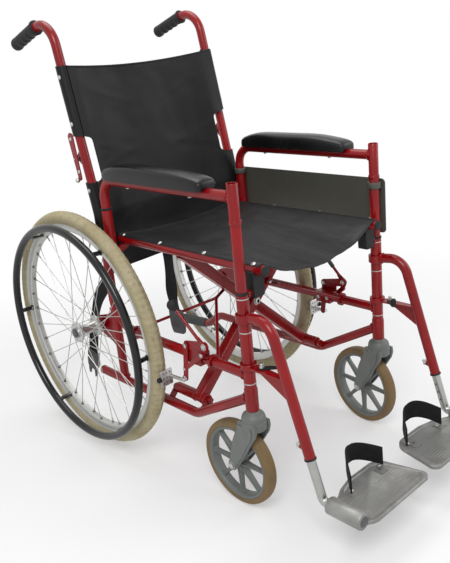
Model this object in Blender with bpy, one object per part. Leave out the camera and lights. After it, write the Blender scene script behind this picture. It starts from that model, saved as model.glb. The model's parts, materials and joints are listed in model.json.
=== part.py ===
# Folding self-propelled wheelchair with swing-away footrests.
# Metres. +X is the occupant's left, -Y is forward, +Z is up, and the floor is at z = 0.
# Every side piece is drawn for the left side, then mirrored to make the right one.
import bpy
import bmesh
from math import pi, sin, cos, tan, atan, atan2, sqrt, radians
from mathutils import Matrix, Vector

for old in list(bpy.data.objects):
    bpy.data.objects.remove(old, do_unlink=True)

LEFT = 1
RIGHT = -1
SIDES = {RIGHT: "right", LEFT: "left"}
GAP = 0.0003
ROUND = 9

# Rear wheels
WHEEL_RADIUS = 0.305
TYRE_WIDTH = 0.036
TYRE_DEPTH = 0.0295
RIM_DEPTH = 0.018
RIM_WIDTH = 0.025
WHEEL_X = 0.2575
FLANGE_SPACING = 0.056
FLANGE_RADIUS = 0.0265
FLANGE_THICKNESS = 0.0054
HUB_RADIUS = 0.0145
HUB_CAP_RADIUS = 0.0135
SPOKE_RADIUS = 0.0011
SPOKE_COUNT = 36
SPOKE_CROSSING = 3
AXLE_RADIUS = 0.0063
PUSHRIM_LIFT = 0.0062
PUSHRIM_TUBE = 0.0095
PUSHRIM_OFFSET = 0.044
PUSHRIM_TABS = 6
PUSHRIM_TAB_WIDTH = 0.009
PUSHRIM_TAB_START = radians(1)

# Side frames
FRAME_X = 0.218
TUBE_RADIUS = 0.0111
POST_RADIUS = 0.0127
WALL = 0.0016
WHEELBASE = 0.545
BACK_POST_SETBACK = 0.081
BACK_BEND_Z = 0.604
BACK_LEAN = 0.19
BACK_JOINT_Z = 0.7325
MID_RAIL_Z = 0.321
MID_RAIL_BEND = 0.075
LOWER_RAIL_Z = 0.1705
LOWER_RAIL_BEND_FORWARD = 0.361
LOWER_RAIL_FRONT_Z = 0.272
LOWER_RAIL_REAR = 0.015
TIPPING_DROP = 0.040
TIPPING_LENGTH = 0.252
TIPPING_SLEEVE = 0.150
CASTER_HOUSING_RADIUS = 0.0142
CASTER_HOUSING_BASE = 0.2425
CASTER_HOUSING_TOP = 0.294
SOCKET_TOP = 0.4952
REAR_SOCKET_TOP = 0.617
REAR_SOCKET_LENGTH = 0.120
SOCKET_WEB = 0.024
ARM_INSERTION = 0.032
AXLE_PLATE_X = 0.2125
AXLE_PLATE_THICKNESS = 0.005
AXLE_BOSS_RADIUS = 0.015

# Scissor cross-brace and the seat rails on it
CROSS_TUBE = 0.0254
CROSS_FRONT_FORWARD = 0.345
CROSS_TUBE_GAP = 0.002
CROSS_PIVOT_X = 0.192
CROSS_PIVOT_Z = 0.196
CROSS_SLEEVE_RADIUS = 0.0127
CROSS_SLEEVE_FRONT = 0.371
CROSS_SLEEVE_REAR = 0.265
PIVOT_PIN_RADIUS = 0.0060
CROSS_BOLT_RADIUS = 0.0048
SEAT_RAIL_X = 0.1818
SEAT_RAIL_Z = 0.538
SEAT_RAIL_FRONT = 0.577
SEAT_RAIL_REAR = 0.100
SADDLE_WIDTH = 0.024
RAIL_PLAY = 0.0014
STAY_REACH = 0.315
STAY_ROD = 0.0036
STAY_FRONT_FOOT = 0.437
STAY_REAR_FOOT = 0.163

# Casters
CASTER_RADIUS = 0.0988
CASTER_TRAIL = 0.0546
CASTER_TYRE_WIDTH = 0.028
CASTER_TYRE_DEPTH = 0.0140
CASTER_RIM_DEPTH = 0.0085
CASTER_SPOKES = 8
CASTER_HUB_RADIUS = 0.0145
CASTER_AXLE_RADIUS = 0.0040
CASTER_HEADING = {RIGHT: radians(0.5), LEFT: radians(-7.0)}
FORK_HEAD_RADIUS = 0.0275
FORK_HEAD_HEIGHT = 0.042
FORK_LEG = 0.0065
STEM_RADIUS = 0.0060

# Armrests
ARM_RAIL_Z = 0.688
ARM_FRONT_TOP = 0.7141
ARM_COLLAR_Z = 0.6389
ARM_BEND = 0.045
ARM_REAR_SETBACK = 0.1110
PAD_REAR = 0.100
PAD_FRONT = 0.500
PAD_WIDTH = 0.052
PAD_HEIGHT = 0.037
GUARD_TOP = 0.633
GUARD_BOTTOM = 0.506
GUARD_THICKNESS = 0.0020
GUARD_X = 0.2320
GUARD_REAR = 0.1000
GUARD_FRONT = 0.5650

# Back canes
HANDLE_CORNER_BACK = 0.0047
HANDLE_CORNER_Z = 1.0485
HANDLE_DROOP = 0.303
HANDLE_BEND = 0.058
GRIP_RADIUS = 0.0152
GRIP_START = 0.0669
GRIP_END = 0.1765
FINGER_GROOVES = 4
BACK_PIN_SETBACK = 0.0250
BACK_PIN_RADIUS = 0.0030

# Footrests
HANGER_X = 0.2215
HANGER_TOP_Z = 0.4545
HANGER_COLLAR = 0.018
HANGER_SLOPE = 0.313
HANGER_CORNER = 0.0707
HANGER_END_Z = 0.1885
HANGER_LATCH_Z = 0.343
FOOT_POST_RADIUS = 0.0092
FOOT_POST_TOP_Z = 0.315
FOOT_AXIS_Z = 0.105
FOOT_BARREL_RADIUS = 0.0180
FOOT_BARREL_LENGTH = 0.080
FOOTPLATE_REAR = 0.712
FOOTPLATE_FRONT = 0.832
FOOTPLATE_INNER_X = 0.0130
FOOTPLATE_TOP = 0.101
FOOTPLATE_THICKNESS = 0.0085
FOOTPLATE_BORDER = 0.009
TREAD_DEPTH = 0.002
LOOP_OUTER_X = 0.160
LOOP_INNER_X = 0.062
LOOP_FEET_FORWARD = 0.036
LOOP_BOW = 0.044
LOOP_WIDTH = 0.034
LOOP_RISE = 0.020

# Brakes
BRAKE_PLATE_X = 0.2325
BRAKE_PLATE = 0.003
BRAKE_PIVOT_FORWARD = 0.4321
BRAKE_PIVOT_Z = 0.3600
BRAKE_KNOB_FORWARD = 0.3500
BRAKE_KNOB_Z = 0.4394
BRAKE_KNOB_RADIUS = 0.0125
SHOE_PIVOT_FORWARD = 0.3710
SHOE_PIVOT_Z = 0.3480
SHOE_GAP = 0.0080
BRAKE_TAIL_REACH = 0.020
BRAKE_TAIL_TURN = radians(-73)
BRAKE_LINK_FORWARD = 0.362
BRAKE_LINK_Z = 0.290
BRAKE_PIN_RADIUS = 0.0030

# Soft pieces
SLING_THICKNESS = 0.0016
SLING_EDGE = 44
BACK_SLING_TOP = 0.9411
BACK_SLING_WINDOW_TOP = 0.7853
BACK_SLING_WINDOW_BASE = 0.6784
BACK_SLING_BASE = 0.465
WEBBING = 0.0020
STRAP_WIDTH = 0.036
BELT_RAIL_FORWARD = 0.258
BELT_DROP = 0.166

# The origin is under the middle of the box, so the hub lies behind it
HUB_Y = (FOOTPLATE_FRONT - WHEEL_RADIUS) / 2
POST_Y = HUB_Y - WHEELBASE
BACK_Y = HUB_Y - BACK_POST_SETBACK
ARM_REAR_Y = HUB_Y - ARM_REAR_SETBACK
REAR_SOCKET_BASE = REAR_SOCKET_TOP - REAR_SOCKET_LENGTH
BACK_SLING_SLEEVE_BASE = REAR_SOCKET_BASE + SOCKET_WEB + 0.004

PAINT = "red_paint"
COLOURS = {
    PAINT: ((0.42, 0.008, 0.010), 0.30, 0.0),
    "black_vinyl": ((0.020, 0.020, 0.021), 0.50, 0.0),
    "black_rubber": ((0.016, 0.016, 0.017), 0.60, 0.0),
    "cream_tyre": ((0.47, 0.41, 0.25), 0.75, 0.0),
    "tan_tyre": ((0.30, 0.17, 0.05), 0.65, 0.0),
    "grey_plastic": ((0.16, 0.17, 0.165), 0.55, 0.0),
    "zinc": ((0.55, 0.55, 0.53), 0.38, 1.0),
    "cast_aluminium": ((0.26, 0.26, 0.25), 0.45, 1.0),
    "chrome": ((0.50, 0.51, 0.50), 0.25, 1.0),
    "guard_board": ((0.055, 0.055, 0.047), 0.60, 0.0),
    "sleeve_rubber": ((0.11, 0.11, 0.11), 0.70, 0.0),
}
MATERIALS = {}


def material(name):
    if name not in MATERIALS:
        colour, roughness, metallic = COLOURS[name]
        made = bpy.data.materials.new(name)
        made.use_nodes = True
        shader = made.node_tree.nodes["Principled BSDF"]
        shader.inputs["Base Color"].default_value = (*colour, 1)
        shader.inputs["Roughness"].default_value = roughness
        shader.inputs["Metallic"].default_value = metallic
        MATERIALS[name] = made
    return MATERIALS[name]


def bore_for(shaft, sides=ROUND, gap=GAP):
    """Radius of a faceted bore that lets a faceted shaft turn inside it."""
    return (shaft + gap) / cos(pi / sides)


def from_rings(rings, closed=False):
    """Skin a row of vertex rings. An open row gets flat caps."""
    mesh = bmesh.new()
    rows = [[mesh.verts.new(point) for point in ring] for ring in rings]
    count = len(rows[0])
    pairs = list(zip(rows, rows[1:]))
    if closed:
        pairs.append((rows[-1], rows[0]))
    for low, high in pairs:
        for i in range(count):
            j = (i + 1) % count
            mesh.faces.new((low[i], low[j], high[j], high[i]))
    if not closed:
        mesh.faces.new(list(reversed(rows[0])))
        mesh.faces.new(rows[-1])
    bmesh.ops.recalc_face_normals(mesh, faces=mesh.faces)
    return mesh


def rounded_path(corners, radii, steps=5):
    """Straight runs through corners, with an arc of the given radius at each inner corner."""
    corners = [Vector(c) for c in corners]
    path = [corners[0]]
    for before, here, after, radius in zip(corners, corners[1:], corners[2:], radii):
        into = (here - before).normalized()
        out = (after - here).normalized()
        turn = into.angle(out)
        reach = radius * tan(turn / 2)
        axis = into.cross(out).normalized()
        centre = here - into * reach + axis.cross(into) * radius
        start = (here - into * reach) - centre
        for step in range(steps + 1):
            path.append(centre + Matrix.Rotation(turn * step / steps, 3, axis) @ start)
    path.append(corners[-1])
    return path


def sweep(path, radius, sides=ROUND, closed=False):
    """A round bar along a path. The radius may be one value or one for each point."""
    path = [Vector(p) for p in path]
    count = len(path)
    radii = radius if isinstance(radius, (list, tuple)) else [radius] * count
    tangents = []
    for i, point in enumerate(path):
        before = path[i - 1] if i or closed else point
        after = path[(i + 1) % count] if i < count - 1 or closed else point
        tangents.append((after - before).normalized())
    side = Vector((1, 0, 0)) if abs(tangents[0].x) < 0.9 else Vector((0, 1, 0))
    rings = []
    for point, tangent, size in zip(path, tangents, radii):
        side = (side - tangent * side.dot(tangent)).normalized()
        other = tangent.cross(side)
        turns = [2 * pi * (k + 0.5) / sides for k in range(sides)]
        rings.append([point + side * (size * cos(t)) + other * (size * sin(t)) for t in turns])
    return from_rings(rings, closed)


def turned(profile, centre, axis="X", steps=16, closed=True, phase=0.0):
    """Revolve (radius, place along the axis) points. A closed profile makes a ring."""
    rings = []
    frames = {
        "X": (Vector((0, 1, 0)), Vector((0, 0, 1)), Vector((1, 0, 0))),
        "Y": (Vector((0, 0, 1)), Vector((1, 0, 0)), Vector((0, 1, 0))),
        "Z": (Vector((1, 0, 0)), Vector((0, 1, 0)), Vector((0, 0, 1))),
    }
    first, second, along = frames[axis]
    centre = Vector(centre)
    if closed:
        for step in range(steps):
            turn = 2 * pi * step / steps + phase
            spoke = first * cos(turn) + second * sin(turn)
            rings.append([centre + spoke * r + along * a for r, a in profile])
        return from_rings(rings, closed=True)
    for r, a in profile:
        turns = [2 * pi * k / steps + phase for k in range(steps)]
        rings.append([
            centre + first * (r * cos(t)) + second * (r * sin(t)) + along * a for t in turns
        ])
    return from_rings(rings)


def rod(start, end, radius, sides=ROUND):
    """A straight round bar between two points."""
    return sweep([start, end], radius, sides)


def slab(outline, low, high, plane="YZ"):
    """Extrude an outline, given in one plane, from low to high along the third axis."""
    place = {
        "YZ": lambda u, v, w: Vector((w, u, v)),
        "XY": lambda u, v, w: Vector((u, v, w)),
        "XZ": lambda u, v, w: Vector((u, w, v)),
    }[plane]
    return from_rings([[place(u, v, w) for u, v in outline] for w in (low, high)])


def block(low, high):
    """A plain box between two corners, for cutters, lugs and bars."""
    (x0, y0, z0), (x1, y1, z1) = low, high
    return slab([(x0, y0), (x1, y0), (x1, y1), (x0, y1)], z0, z1, "XY")


def arc(centre, radius, start, end, steps):
    """Points on an arc in a plane, angles in degrees."""
    turns = [radians(start + (end - start) * k / steps) for k in range(steps + 1)]
    return [(centre[0] + radius * cos(t), centre[1] + radius * sin(t)) for t in turns]


def bar_outline(start, end, radius_a, radius_b, steps=3):
    """Outline of a flat bar with round ends, between two points of a plane."""
    turn = atan2(end[1] - start[1], end[0] - start[0]) * 180 / pi
    return arc(end, radius_b, turn - 90, turn + 90, steps) + \
        arc(start, radius_a, turn + 90, turn + 270, steps)


def joined(meshes):
    """One mesh that holds several separate solids."""
    whole = bmesh.new()
    for mesh in meshes:
        held = bpy.data.meshes.new("held")
        mesh.to_mesh(held)
        whole.from_mesh(held)
        mesh.free()
        bpy.data.meshes.remove(held)
    return whole


def as_object(name, mesh):
    data = bpy.data.meshes.new(name)
    mesh.to_mesh(data)
    mesh.free()
    made = bpy.data.objects.new(name, data)
    bpy.context.scene.collection.objects.link(made)
    return made


def combine(base, other, operation):
    """Boolean of two objects, kept as the first one's mesh."""
    step = base.modifiers.new("combine", "BOOLEAN")
    step.operation = operation
    step.object = other
    bpy.context.view_layer.update()
    shape = base.evaluated_get(bpy.context.evaluated_depsgraph_get())
    result = bpy.data.meshes.new_from_object(shape)
    base.modifiers.clear()
    base.data = result
    bpy.data.objects.remove(other, do_unlink=True)


def solid(name, pieces, finish, side=LEFT, cuts=(), origin=(0, 0, 0), smooth=46, heading=0.0):
    """Weld the pieces, cut the cutters out, mirror to a side and put the origin on the joint."""
    made = as_object(name, pieces[0])
    for piece in pieces[1:]:
        combine(made, as_object("piece", piece), "UNION")
    for cutter in cuts:
        combine(made, as_object("cutter", cutter), "DIFFERENCE")
    mesh = bmesh.new()
    mesh.from_mesh(made.data)
    bmesh.ops.remove_doubles(mesh, verts=mesh.verts, dist=0.000001)
    bmesh.ops.dissolve_degenerate(mesh, dist=0.000001, edges=mesh.edges)
    if side == RIGHT:
        bmesh.ops.transform(mesh, matrix=Matrix.Diagonal((-1, 1, 1, 1)), verts=mesh.verts)
        bmesh.ops.reverse_faces(mesh, faces=mesh.faces)
    if heading:
        stem = Vector((side * FRAME_X, POST_Y, 0))
        turn = Matrix.Translation(stem) @ Matrix.Rotation(heading, 4, "Z")
        bmesh.ops.transform(mesh, matrix=turn @ Matrix.Translation(-stem), verts=mesh.verts)
    place = Vector((side * origin[0], origin[1], origin[2]))
    bmesh.ops.translate(mesh, vec=-place, verts=mesh.verts)
    mesh.to_mesh(made.data)
    mesh.free()
    made.location = place
    made.data.materials.clear()
    made.data.materials.append(material(finish))
    made.data.shade_smooth()
    made.data.set_sharp_from_angle(angle=radians(smooth))
    return made


def back_y(z):
    """Place of the back post's axis at a height: upright below the bend, leaning above it."""
    return BACK_Y + max(0.0, z - BACK_BEND_Z) * BACK_LEAN


def hanger_y(z):
    """Place of the footrest tube's axis at a height."""
    return POST_Y - HANGER_CORNER - HANGER_SLOPE * (HANGER_TOP_Z - z)


def cross_point(reach):
    """A point on the rear brace's axis, given by its distance from the left pivot."""
    rise = atan2(SEAT_RAIL_Z - CROSS_PIVOT_Z, CROSS_PIVOT_X + SEAT_RAIL_X)
    return CROSS_PIVOT_X - reach * cos(rise), CROSS_PIVOT_Z + reach * sin(rise)


CROSS_FRONT_Y = HUB_Y - CROSS_FRONT_FORWARD
CROSS_REAR_Y = CROSS_FRONT_Y + CROSS_TUBE + CROSS_TUBE_GAP
STAY_X, STAY_Z = cross_point(STAY_REACH)
FOOT_CORNER_Y = hanger_y(FOOT_AXIS_Z)
BARREL_REAR_Y = FOOT_CORNER_Y - 0.016
BARREL_FRONT_Y = BARREL_REAR_Y - FOOT_BARREL_LENGTH
BACK_PIN_Y = back_y(BACK_JOINT_Z) + BACK_PIN_SETBACK


def side_frame(side):
    """Welded tubes: back post and mid rail in one, front post, lower rail, sockets, axle plate."""
    x = FRAME_X
    long_lever = side == LEFT
    top = BACK_JOINT_Z - GAP
    back = rounded_path(
        [(x, back_y(top), top), (x, BACK_Y, BACK_BEND_Z), (x, BACK_Y, MID_RAIL_Z),
         (x, POST_Y, MID_RAIL_Z)],
        [0.12, MID_RAIL_BEND], 4)
    rail_rear = HUB_Y + LOWER_RAIL_REAR
    corners = [(x, POST_Y, LOWER_RAIL_FRONT_Z),
               (x, HUB_Y - LOWER_RAIL_BEND_FORWARD, LOWER_RAIL_Z),
               (x, rail_rear, LOWER_RAIL_Z)]
    radii = [0.05]
    if long_lever:
        corners[2] = (x, rail_rear + 0.020, LOWER_RAIL_Z)
        corners.append((x, rail_rear + 0.075, LOWER_RAIL_Z - TIPPING_DROP))
        corners.append((x, HUB_Y + TIPPING_LENGTH, LOWER_RAIL_Z - TIPPING_DROP - 0.013))
        radii += [0.05, 0.05]
    lower = rounded_path(corners, radii, 2)
    strut_top = MID_RAIL_Z + MID_RAIL_BEND * 0.6
    lug_y = [HUB_Y - CROSS_SLEEVE_FRONT - 0.0055, HUB_Y - CROSS_SLEEVE_REAR + 0.0015]
    pieces = [
        sweep(back, TUBE_RADIUS),
        rod((x, POST_Y, CASTER_HOUSING_TOP - 0.004), (x, POST_Y, SOCKET_TOP), POST_RADIUS),
        turned([(CASTER_HOUSING_RADIUS, CASTER_HOUSING_BASE),
                (CASTER_HOUSING_RADIUS, CASTER_HOUSING_TOP - 0.003),
                (POST_RADIUS, CASTER_HOUSING_TOP)], (x, POST_Y, 0), "Z", ROUND, False),
        sweep(lower, TUBE_RADIUS),
        rod((x, BACK_Y, LOWER_RAIL_Z), (x, BACK_Y, strut_top), TUBE_RADIUS * 0.97, 10),
        rod((x, ARM_REAR_Y, REAR_SOCKET_BASE), (x, ARM_REAR_Y, REAR_SOCKET_TOP), POST_RADIUS),
        slab(axle_plate_outline(), AXLE_PLATE_X - AXLE_PLATE_THICKNESS / 2,
             AXLE_PLATE_X + AXLE_PLATE_THICKNESS / 2),
        rod((AXLE_PLATE_X - 0.0070, HUB_Y, WHEEL_RADIUS),
            (WHEEL_X - FLANGE_SPACING / 2 - 0.0040, HUB_Y, WHEEL_RADIUS), AXLE_BOSS_RADIUS),
        rod((x, POST_Y, SADDLE_Z), (SEAT_RAIL_X + 0.004, POST_Y, SADDLE_Z), 0.0070, 10),
        rear_rail_rest(),
        block((x - 0.004, ARM_REAR_Y + 0.010, REAR_SOCKET_BASE + 0.002),
              (x + 0.004, BACK_Y - 0.008, REAR_SOCKET_BASE + 0.002 + SOCKET_WEB)),
        slab(bar_outline((back_y(top - 0.022), top - 0.022), (BACK_PIN_Y, BACK_JOINT_Z),
                         0.0070, 0.0060), x - 0.0018, x + 0.0018),
        rod((CROSS_PIVOT_X, lug_y[0] - 0.001, CROSS_PIVOT_Z),
            (CROSS_PIVOT_X, lug_y[1] + 0.005, CROSS_PIVOT_Z), PIVOT_PIN_RADIUS),
    ]
    for start in lug_y:
        pieces.append(slab(pivot_lug_outline(start), start, start + 0.004, "XZ"))
    cuts = [
        rod((x, POST_Y, SOCKET_TOP - ARM_INSERTION - 0.003), (x, POST_Y, SOCKET_TOP + 0.01),
            TUBE_RADIUS + GAP),
        rod((x, ARM_REAR_Y, REAR_SOCKET_TOP - ARM_INSERTION - 0.003),
            (x, ARM_REAR_Y, REAR_SOCKET_TOP + 0.01), TUBE_RADIUS + GAP),
        rod((x, POST_Y, CASTER_HOUSING_BASE - 0.01), (x, POST_Y, CASTER_HOUSING_TOP - 0.006),
            bore_for(STEM_RADIUS)),
        rod((x - 0.05, HUB_Y, WHEEL_RADIUS), (x + 0.05, HUB_Y, WHEEL_RADIUS),
            bore_for(AXLE_RADIUS)),
        rod((x - 0.05, BACK_PIN_Y, BACK_JOINT_Z), (x + 0.05, BACK_PIN_Y, BACK_JOINT_Z),
            bore_for(BACK_PIN_RADIUS)),
    ]
    return solid("side_frame_" + SIDES[side], pieces, PAINT, side, cuts)


def axle_plate_outline():
    """Gusset from the back post to the axle, round at the nose and flared at the post."""
    nose = arc((HUB_Y, WHEEL_RADIUS), 0.0225, 60, -60, 6)
    post = BACK_Y + TUBE_RADIUS * 0.5
    return [(post, WHEEL_RADIUS + 0.062), (post + 0.030, WHEEL_RADIUS + 0.036)] + nose + \
        [(post + 0.030, WHEEL_RADIUS - 0.040), (post, WHEEL_RADIUS - 0.062)]


def pivot_lug_outline(start):
    """Lug that stands on the lower rail and holds one end of the cross-brace pin."""
    rail_z = LOWER_RAIL_Z
    ahead = (HUB_Y - LOWER_RAIL_BEND_FORWARD) - (start + 0.002)
    if ahead > 0:
        slope = (LOWER_RAIL_FRONT_Z - LOWER_RAIL_Z) / (WHEELBASE - LOWER_RAIL_BEND_FORWARD)
        rail_z += ahead * slope
    return bar_outline((FRAME_X, rail_z), (CROSS_PIVOT_X, CROSS_PIVOT_Z), 0.0085, 0.0085)


SADDLE_Z = SEAT_RAIL_Z - 0.046


def rear_rail_rest():
    """Pressed steel arm that carries the rear end of the seat rail on its rounded top."""
    y = ARM_REAR_Y
    top = SEAT_RAIL_Z - TUBE_RADIUS - RAIL_PLAY
    outline = [(SEAT_RAIL_X - 0.012, top - 0.006), (SEAT_RAIL_X - 0.008, top),
               (SEAT_RAIL_X + 0.008, top), (FRAME_X - 0.006, top - 0.004),
               (FRAME_X - 0.006, top - 0.026), (SEAT_RAIL_X, top - 0.012)]
    return slab(outline, y - 0.005, y + 0.005, "XZ")


def seat_saddle(side):
    """Moulded saddle on the post's stub. The seat rail drops into its round top."""
    half = SADDLE_WIDTH / 2
    x = SEAT_RAIL_X
    base = SADDLE_Z - 0.011
    lip = SEAT_RAIL_Z - 0.003
    outline = [(x - 0.0150, base + 0.004), (x - 0.0110, base), (x + 0.0110, base),
               (x + 0.0135, base + 0.003), (x + 0.0148, lip - 0.010), (x + 0.0152, lip),
               (x - 0.0145, lip + 0.004), (x - 0.0165, lip - 0.004)]
    rail = TUBE_RADIUS + RAIL_PLAY
    return solid(
        "seat_saddle_" + SIDES[side], [slab(outline, POST_Y - half, POST_Y + half, "XZ")],
        "black_rubber", side,
        [rod((x, POST_Y - 0.05, SEAT_RAIL_Z), (x, POST_Y + 0.05, SEAT_RAIL_Z), rail / cos(pi / ROUND)),
         rod((x + 0.0037, POST_Y, SADDLE_Z), (x + 0.05, POST_Y, SADDLE_Z), 0.0070 + GAP, 10)])


def rear_axle(side):
    """Axle bolt with its nut inside the frame and its cap outside the hub."""
    inner = AXLE_PLATE_X - 0.0070 - GAP
    outer = WHEEL_X + FLANGE_SPACING / 2 + 0.0060 + GAP
    profile = [(0.0090, inner - 0.008), (0.0100, inner - 0.0065), (0.0100, inner),
               (AXLE_RADIUS, inner), (AXLE_RADIUS, outer), (HUB_CAP_RADIUS - 0.002, outer),
               (HUB_CAP_RADIUS - 0.002, outer + 0.002), (0.006, outer + 0.004)]
    place = (0, HUB_Y, WHEEL_RADIUS)
    return solid("rear_axle_" + SIDES[side], [turned(profile, place, "X", 8, False)],
                 "zinc", side, origin=(WHEEL_X, HUB_Y, WHEEL_RADIUS))


WHEEL_STEPS = 36
TYRE_SEAT = WHEEL_RADIUS - TYRE_DEPTH
RIM_OUTER = TYRE_SEAT - GAP
RIM_INNER = RIM_OUTER - RIM_DEPTH
RIM_MIDDLE = (RIM_OUTER + RIM_INNER) / 2


def rear_tyre(side):
    """Treaded tyre: flat seat on the rim, full sidewalls and a rounded crown."""
    half = TYRE_WIDTH / 2
    r = WHEEL_RADIUS
    profile = [(TYRE_SEAT, -half * 0.62), (TYRE_SEAT + 0.011, -half), (r - 0.006, -half * 0.72),
               (r, 0), (r - 0.006, half * 0.72), (TYRE_SEAT + 0.011, half),
               (TYRE_SEAT, half * 0.62)]
    ring = turned(profile, (WHEEL_X, HUB_Y, WHEEL_RADIUS), "X", WHEEL_STEPS, phase=pi / 2)
    return solid("rear_tyre_" + SIDES[side], [ring], "cream_tyre", side,
                 origin=(WHEEL_X, HUB_Y, WHEEL_RADIUS))


def spokes():
    """Laced spokes: each flange's spokes lean both ways and cross three others."""
    bars = []
    per_flange = SPOKE_COUNT // 2
    lean = 2 * pi * SPOKE_CROSSING / per_flange
    hub_ring = FLANGE_RADIUS - 0.0035
    for index in range(SPOKE_COUNT):
        flange = 1 if index % 2 else -1
        pair = index // 2
        way = 1 if pair % 2 else -1
        rim_turn = 2 * pi * index / SPOKE_COUNT
        hub_turn = rim_turn + way * lean
        offset = flange * FLANGE_SPACING / 2 + way * 0.0015
        start = Vector((WHEEL_X + offset, HUB_Y + hub_ring * cos(hub_turn),
                        WHEEL_RADIUS + hub_ring * sin(hub_turn)))
        reach = RIM_INNER + 0.004
        end = Vector((WHEEL_X + flange * 0.004 + way * 0.0015, HUB_Y + reach * cos(rim_turn),
                      WHEEL_RADIUS + reach * sin(rim_turn)))
        bars.append(sweep([start, end], SPOKE_RADIUS, 3))
    return joined(bars)


def rear_wheel(side):
    """Box rim, laced spokes and a long aluminium hub shell with two flanges."""
    place = (WHEEL_X, HUB_Y, WHEEL_RADIUS)
    half = RIM_WIDTH / 2
    rim = turned([(RIM_OUTER, -half), (RIM_OUTER, half), (RIM_INNER, half * 0.62),
                  (RIM_INNER, -half * 0.62)], place, "X", WHEEL_STEPS, phase=pi / 2)
    flange = FLANGE_SPACING / 2
    wall = FLANGE_THICKNESS / 2
    bore = bore_for(AXLE_RADIUS)
    hub = turned([(bore, -flange - 0.0035), (HUB_RADIUS, -flange - 0.0035),
                  (HUB_RADIUS, -flange - wall), (FLANGE_RADIUS, -flange - wall),
                  (FLANGE_RADIUS, -flange + wall), (HUB_RADIUS, -flange + wall + 0.002),
                  (HUB_RADIUS, flange - wall - 0.002), (FLANGE_RADIUS, flange - wall),
                  (FLANGE_RADIUS, flange + wall), (HUB_CAP_RADIUS, flange + wall),
                  (HUB_CAP_RADIUS, flange + 0.006), (bore, flange + 0.006)],
                 place, "X", ROUND)
    return solid("rear_wheel_" + SIDES[side], [joined([rim, hub]), spokes()], "zinc", side,
                 origin=place)


def rim_face(radius):
    """Lateral place of the rim's sloping outer side at a radius."""
    share = (radius - RIM_INNER) / RIM_DEPTH
    return WHEEL_X + RIM_WIDTH / 2 * (0.62 + 0.38 * share)


def pushrim(side):
    """Push ring with short tabs that end against the wheel rim."""
    x = WHEEL_X + PUSHRIM_OFFSET
    turns = [2 * pi * k / WHEEL_STEPS for k in range(WHEEL_STEPS)]
    radius = RIM_MIDDLE + PUSHRIM_LIFT
    loop = [(x, HUB_Y + radius * cos(t), WHEEL_RADIUS + radius * sin(t)) for t in turns]
    ring = sweep(loop, PUSHRIM_TUBE, 6, closed=True)
    half = PUSHRIM_TAB_WIDTH / 2
    tabs = []
    for k in range(PUSHRIM_TABS):
        turn = PUSHRIM_TAB_START + 2 * pi * k / PUSHRIM_TABS
        tab = from_rings([
            [(rim_face(r) + GAP, -half, r), (x - 0.002, -half, r), (x - 0.002, half, r),
             (rim_face(r) + GAP, half, r)] for r in (RIM_MIDDLE - 0.004, RIM_MIDDLE + 0.003)])
        place = Matrix.Translation((0, HUB_Y, WHEEL_RADIUS)) @ \
            Matrix.Rotation(turn - pi / 2, 4, "X")
        bmesh.ops.transform(tab, matrix=place, verts=tab.verts)
        tabs.append(tab)
    return solid("pushrim_" + SIDES[side], [ring, joined(tabs)], "black_rubber", side,
                 origin=(WHEEL_X, HUB_Y, WHEEL_RADIUS))


CASTER_Y = POST_Y + CASTER_TRAIL
CASTER_SEAT = CASTER_RADIUS - CASTER_TYRE_DEPTH
CASTER_HUB_HALF = 0.0165
CASTER_STEPS = 24
FORK_INNER = CASTER_HUB_HALF + 0.0008
FORK_OUTER = FORK_INNER + FORK_LEG


def caster_fork(side):
    """Moulded fork: stepped round head with its stem, and two legs that taper to the axle."""
    top = CASTER_HOUSING_BASE
    head = FORK_HEAD_RADIUS
    turned_head = turned(
        [(head * size, top - FORK_HEAD_HEIGHT * drop) for size, drop in (
            (0.96, 1.0), (1.0, 0.56), (0.94, 0.524), (0.92, 0.369), (0.82, 0.214), (0.50, 0.095))] +
        [(CASTER_HOUSING_RADIUS * 0.88, top - GAP), (STEM_RADIUS, top - GAP),
         (STEM_RADIUS, CASTER_HOUSING_TOP - 0.008)],
        (FRAME_X, POST_Y, 0), "Z", 12, False)
    outline = fork_leg_outline()
    legs = [slab(outline, FRAME_X + s * FORK_INNER, FRAME_X + s * FORK_OUTER) for s in (1, -1)]
    under = top - FORK_HEAD_HEIGHT
    bridge = block((FRAME_X - FORK_OUTER + 0.001, POST_Y - 0.016, under + 0.001),
                   (FRAME_X + FORK_OUTER - 0.001, POST_Y + 0.016, under + 0.0095))
    hole = rod((FRAME_X - 0.05, CASTER_Y, CASTER_RADIUS), (FRAME_X + 0.05, CASTER_Y, CASTER_RADIUS),
               bore_for(CASTER_AXLE_RADIUS))
    return solid("caster_fork_" + SIDES[side], [turned_head, bridge, *legs], "grey_plastic",
                 side, [hole], (FRAME_X, POST_Y, CASTER_HOUSING_BASE),
                 heading=CASTER_HEADING[side])


def fork_leg_outline():
    """Side view of a leg: wide under the head, hollow-fronted, round at the axle."""
    foot = arc((CASTER_Y, CASTER_RADIUS), 0.0115, -115, 25, 5)
    under = CASTER_HOUSING_BASE - FORK_HEAD_HEIGHT
    return [(POST_Y - 0.0255, under + 0.0185), (POST_Y - 0.0262, under + 0.0055),
            (POST_Y - 0.0210, under - 0.0105), (CASTER_Y - 0.0526, under - 0.0445),
            (CASTER_Y - 0.0246, CASTER_RADIUS + 0.0132)] + foot + \
        [(CASTER_Y + 0.0014, CASTER_RADIUS + 0.0342), (POST_Y + 0.0400, under - 0.0225),
         (POST_Y + 0.0258, under + 0.0055), (POST_Y + 0.0250, under + 0.0185)]


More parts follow.
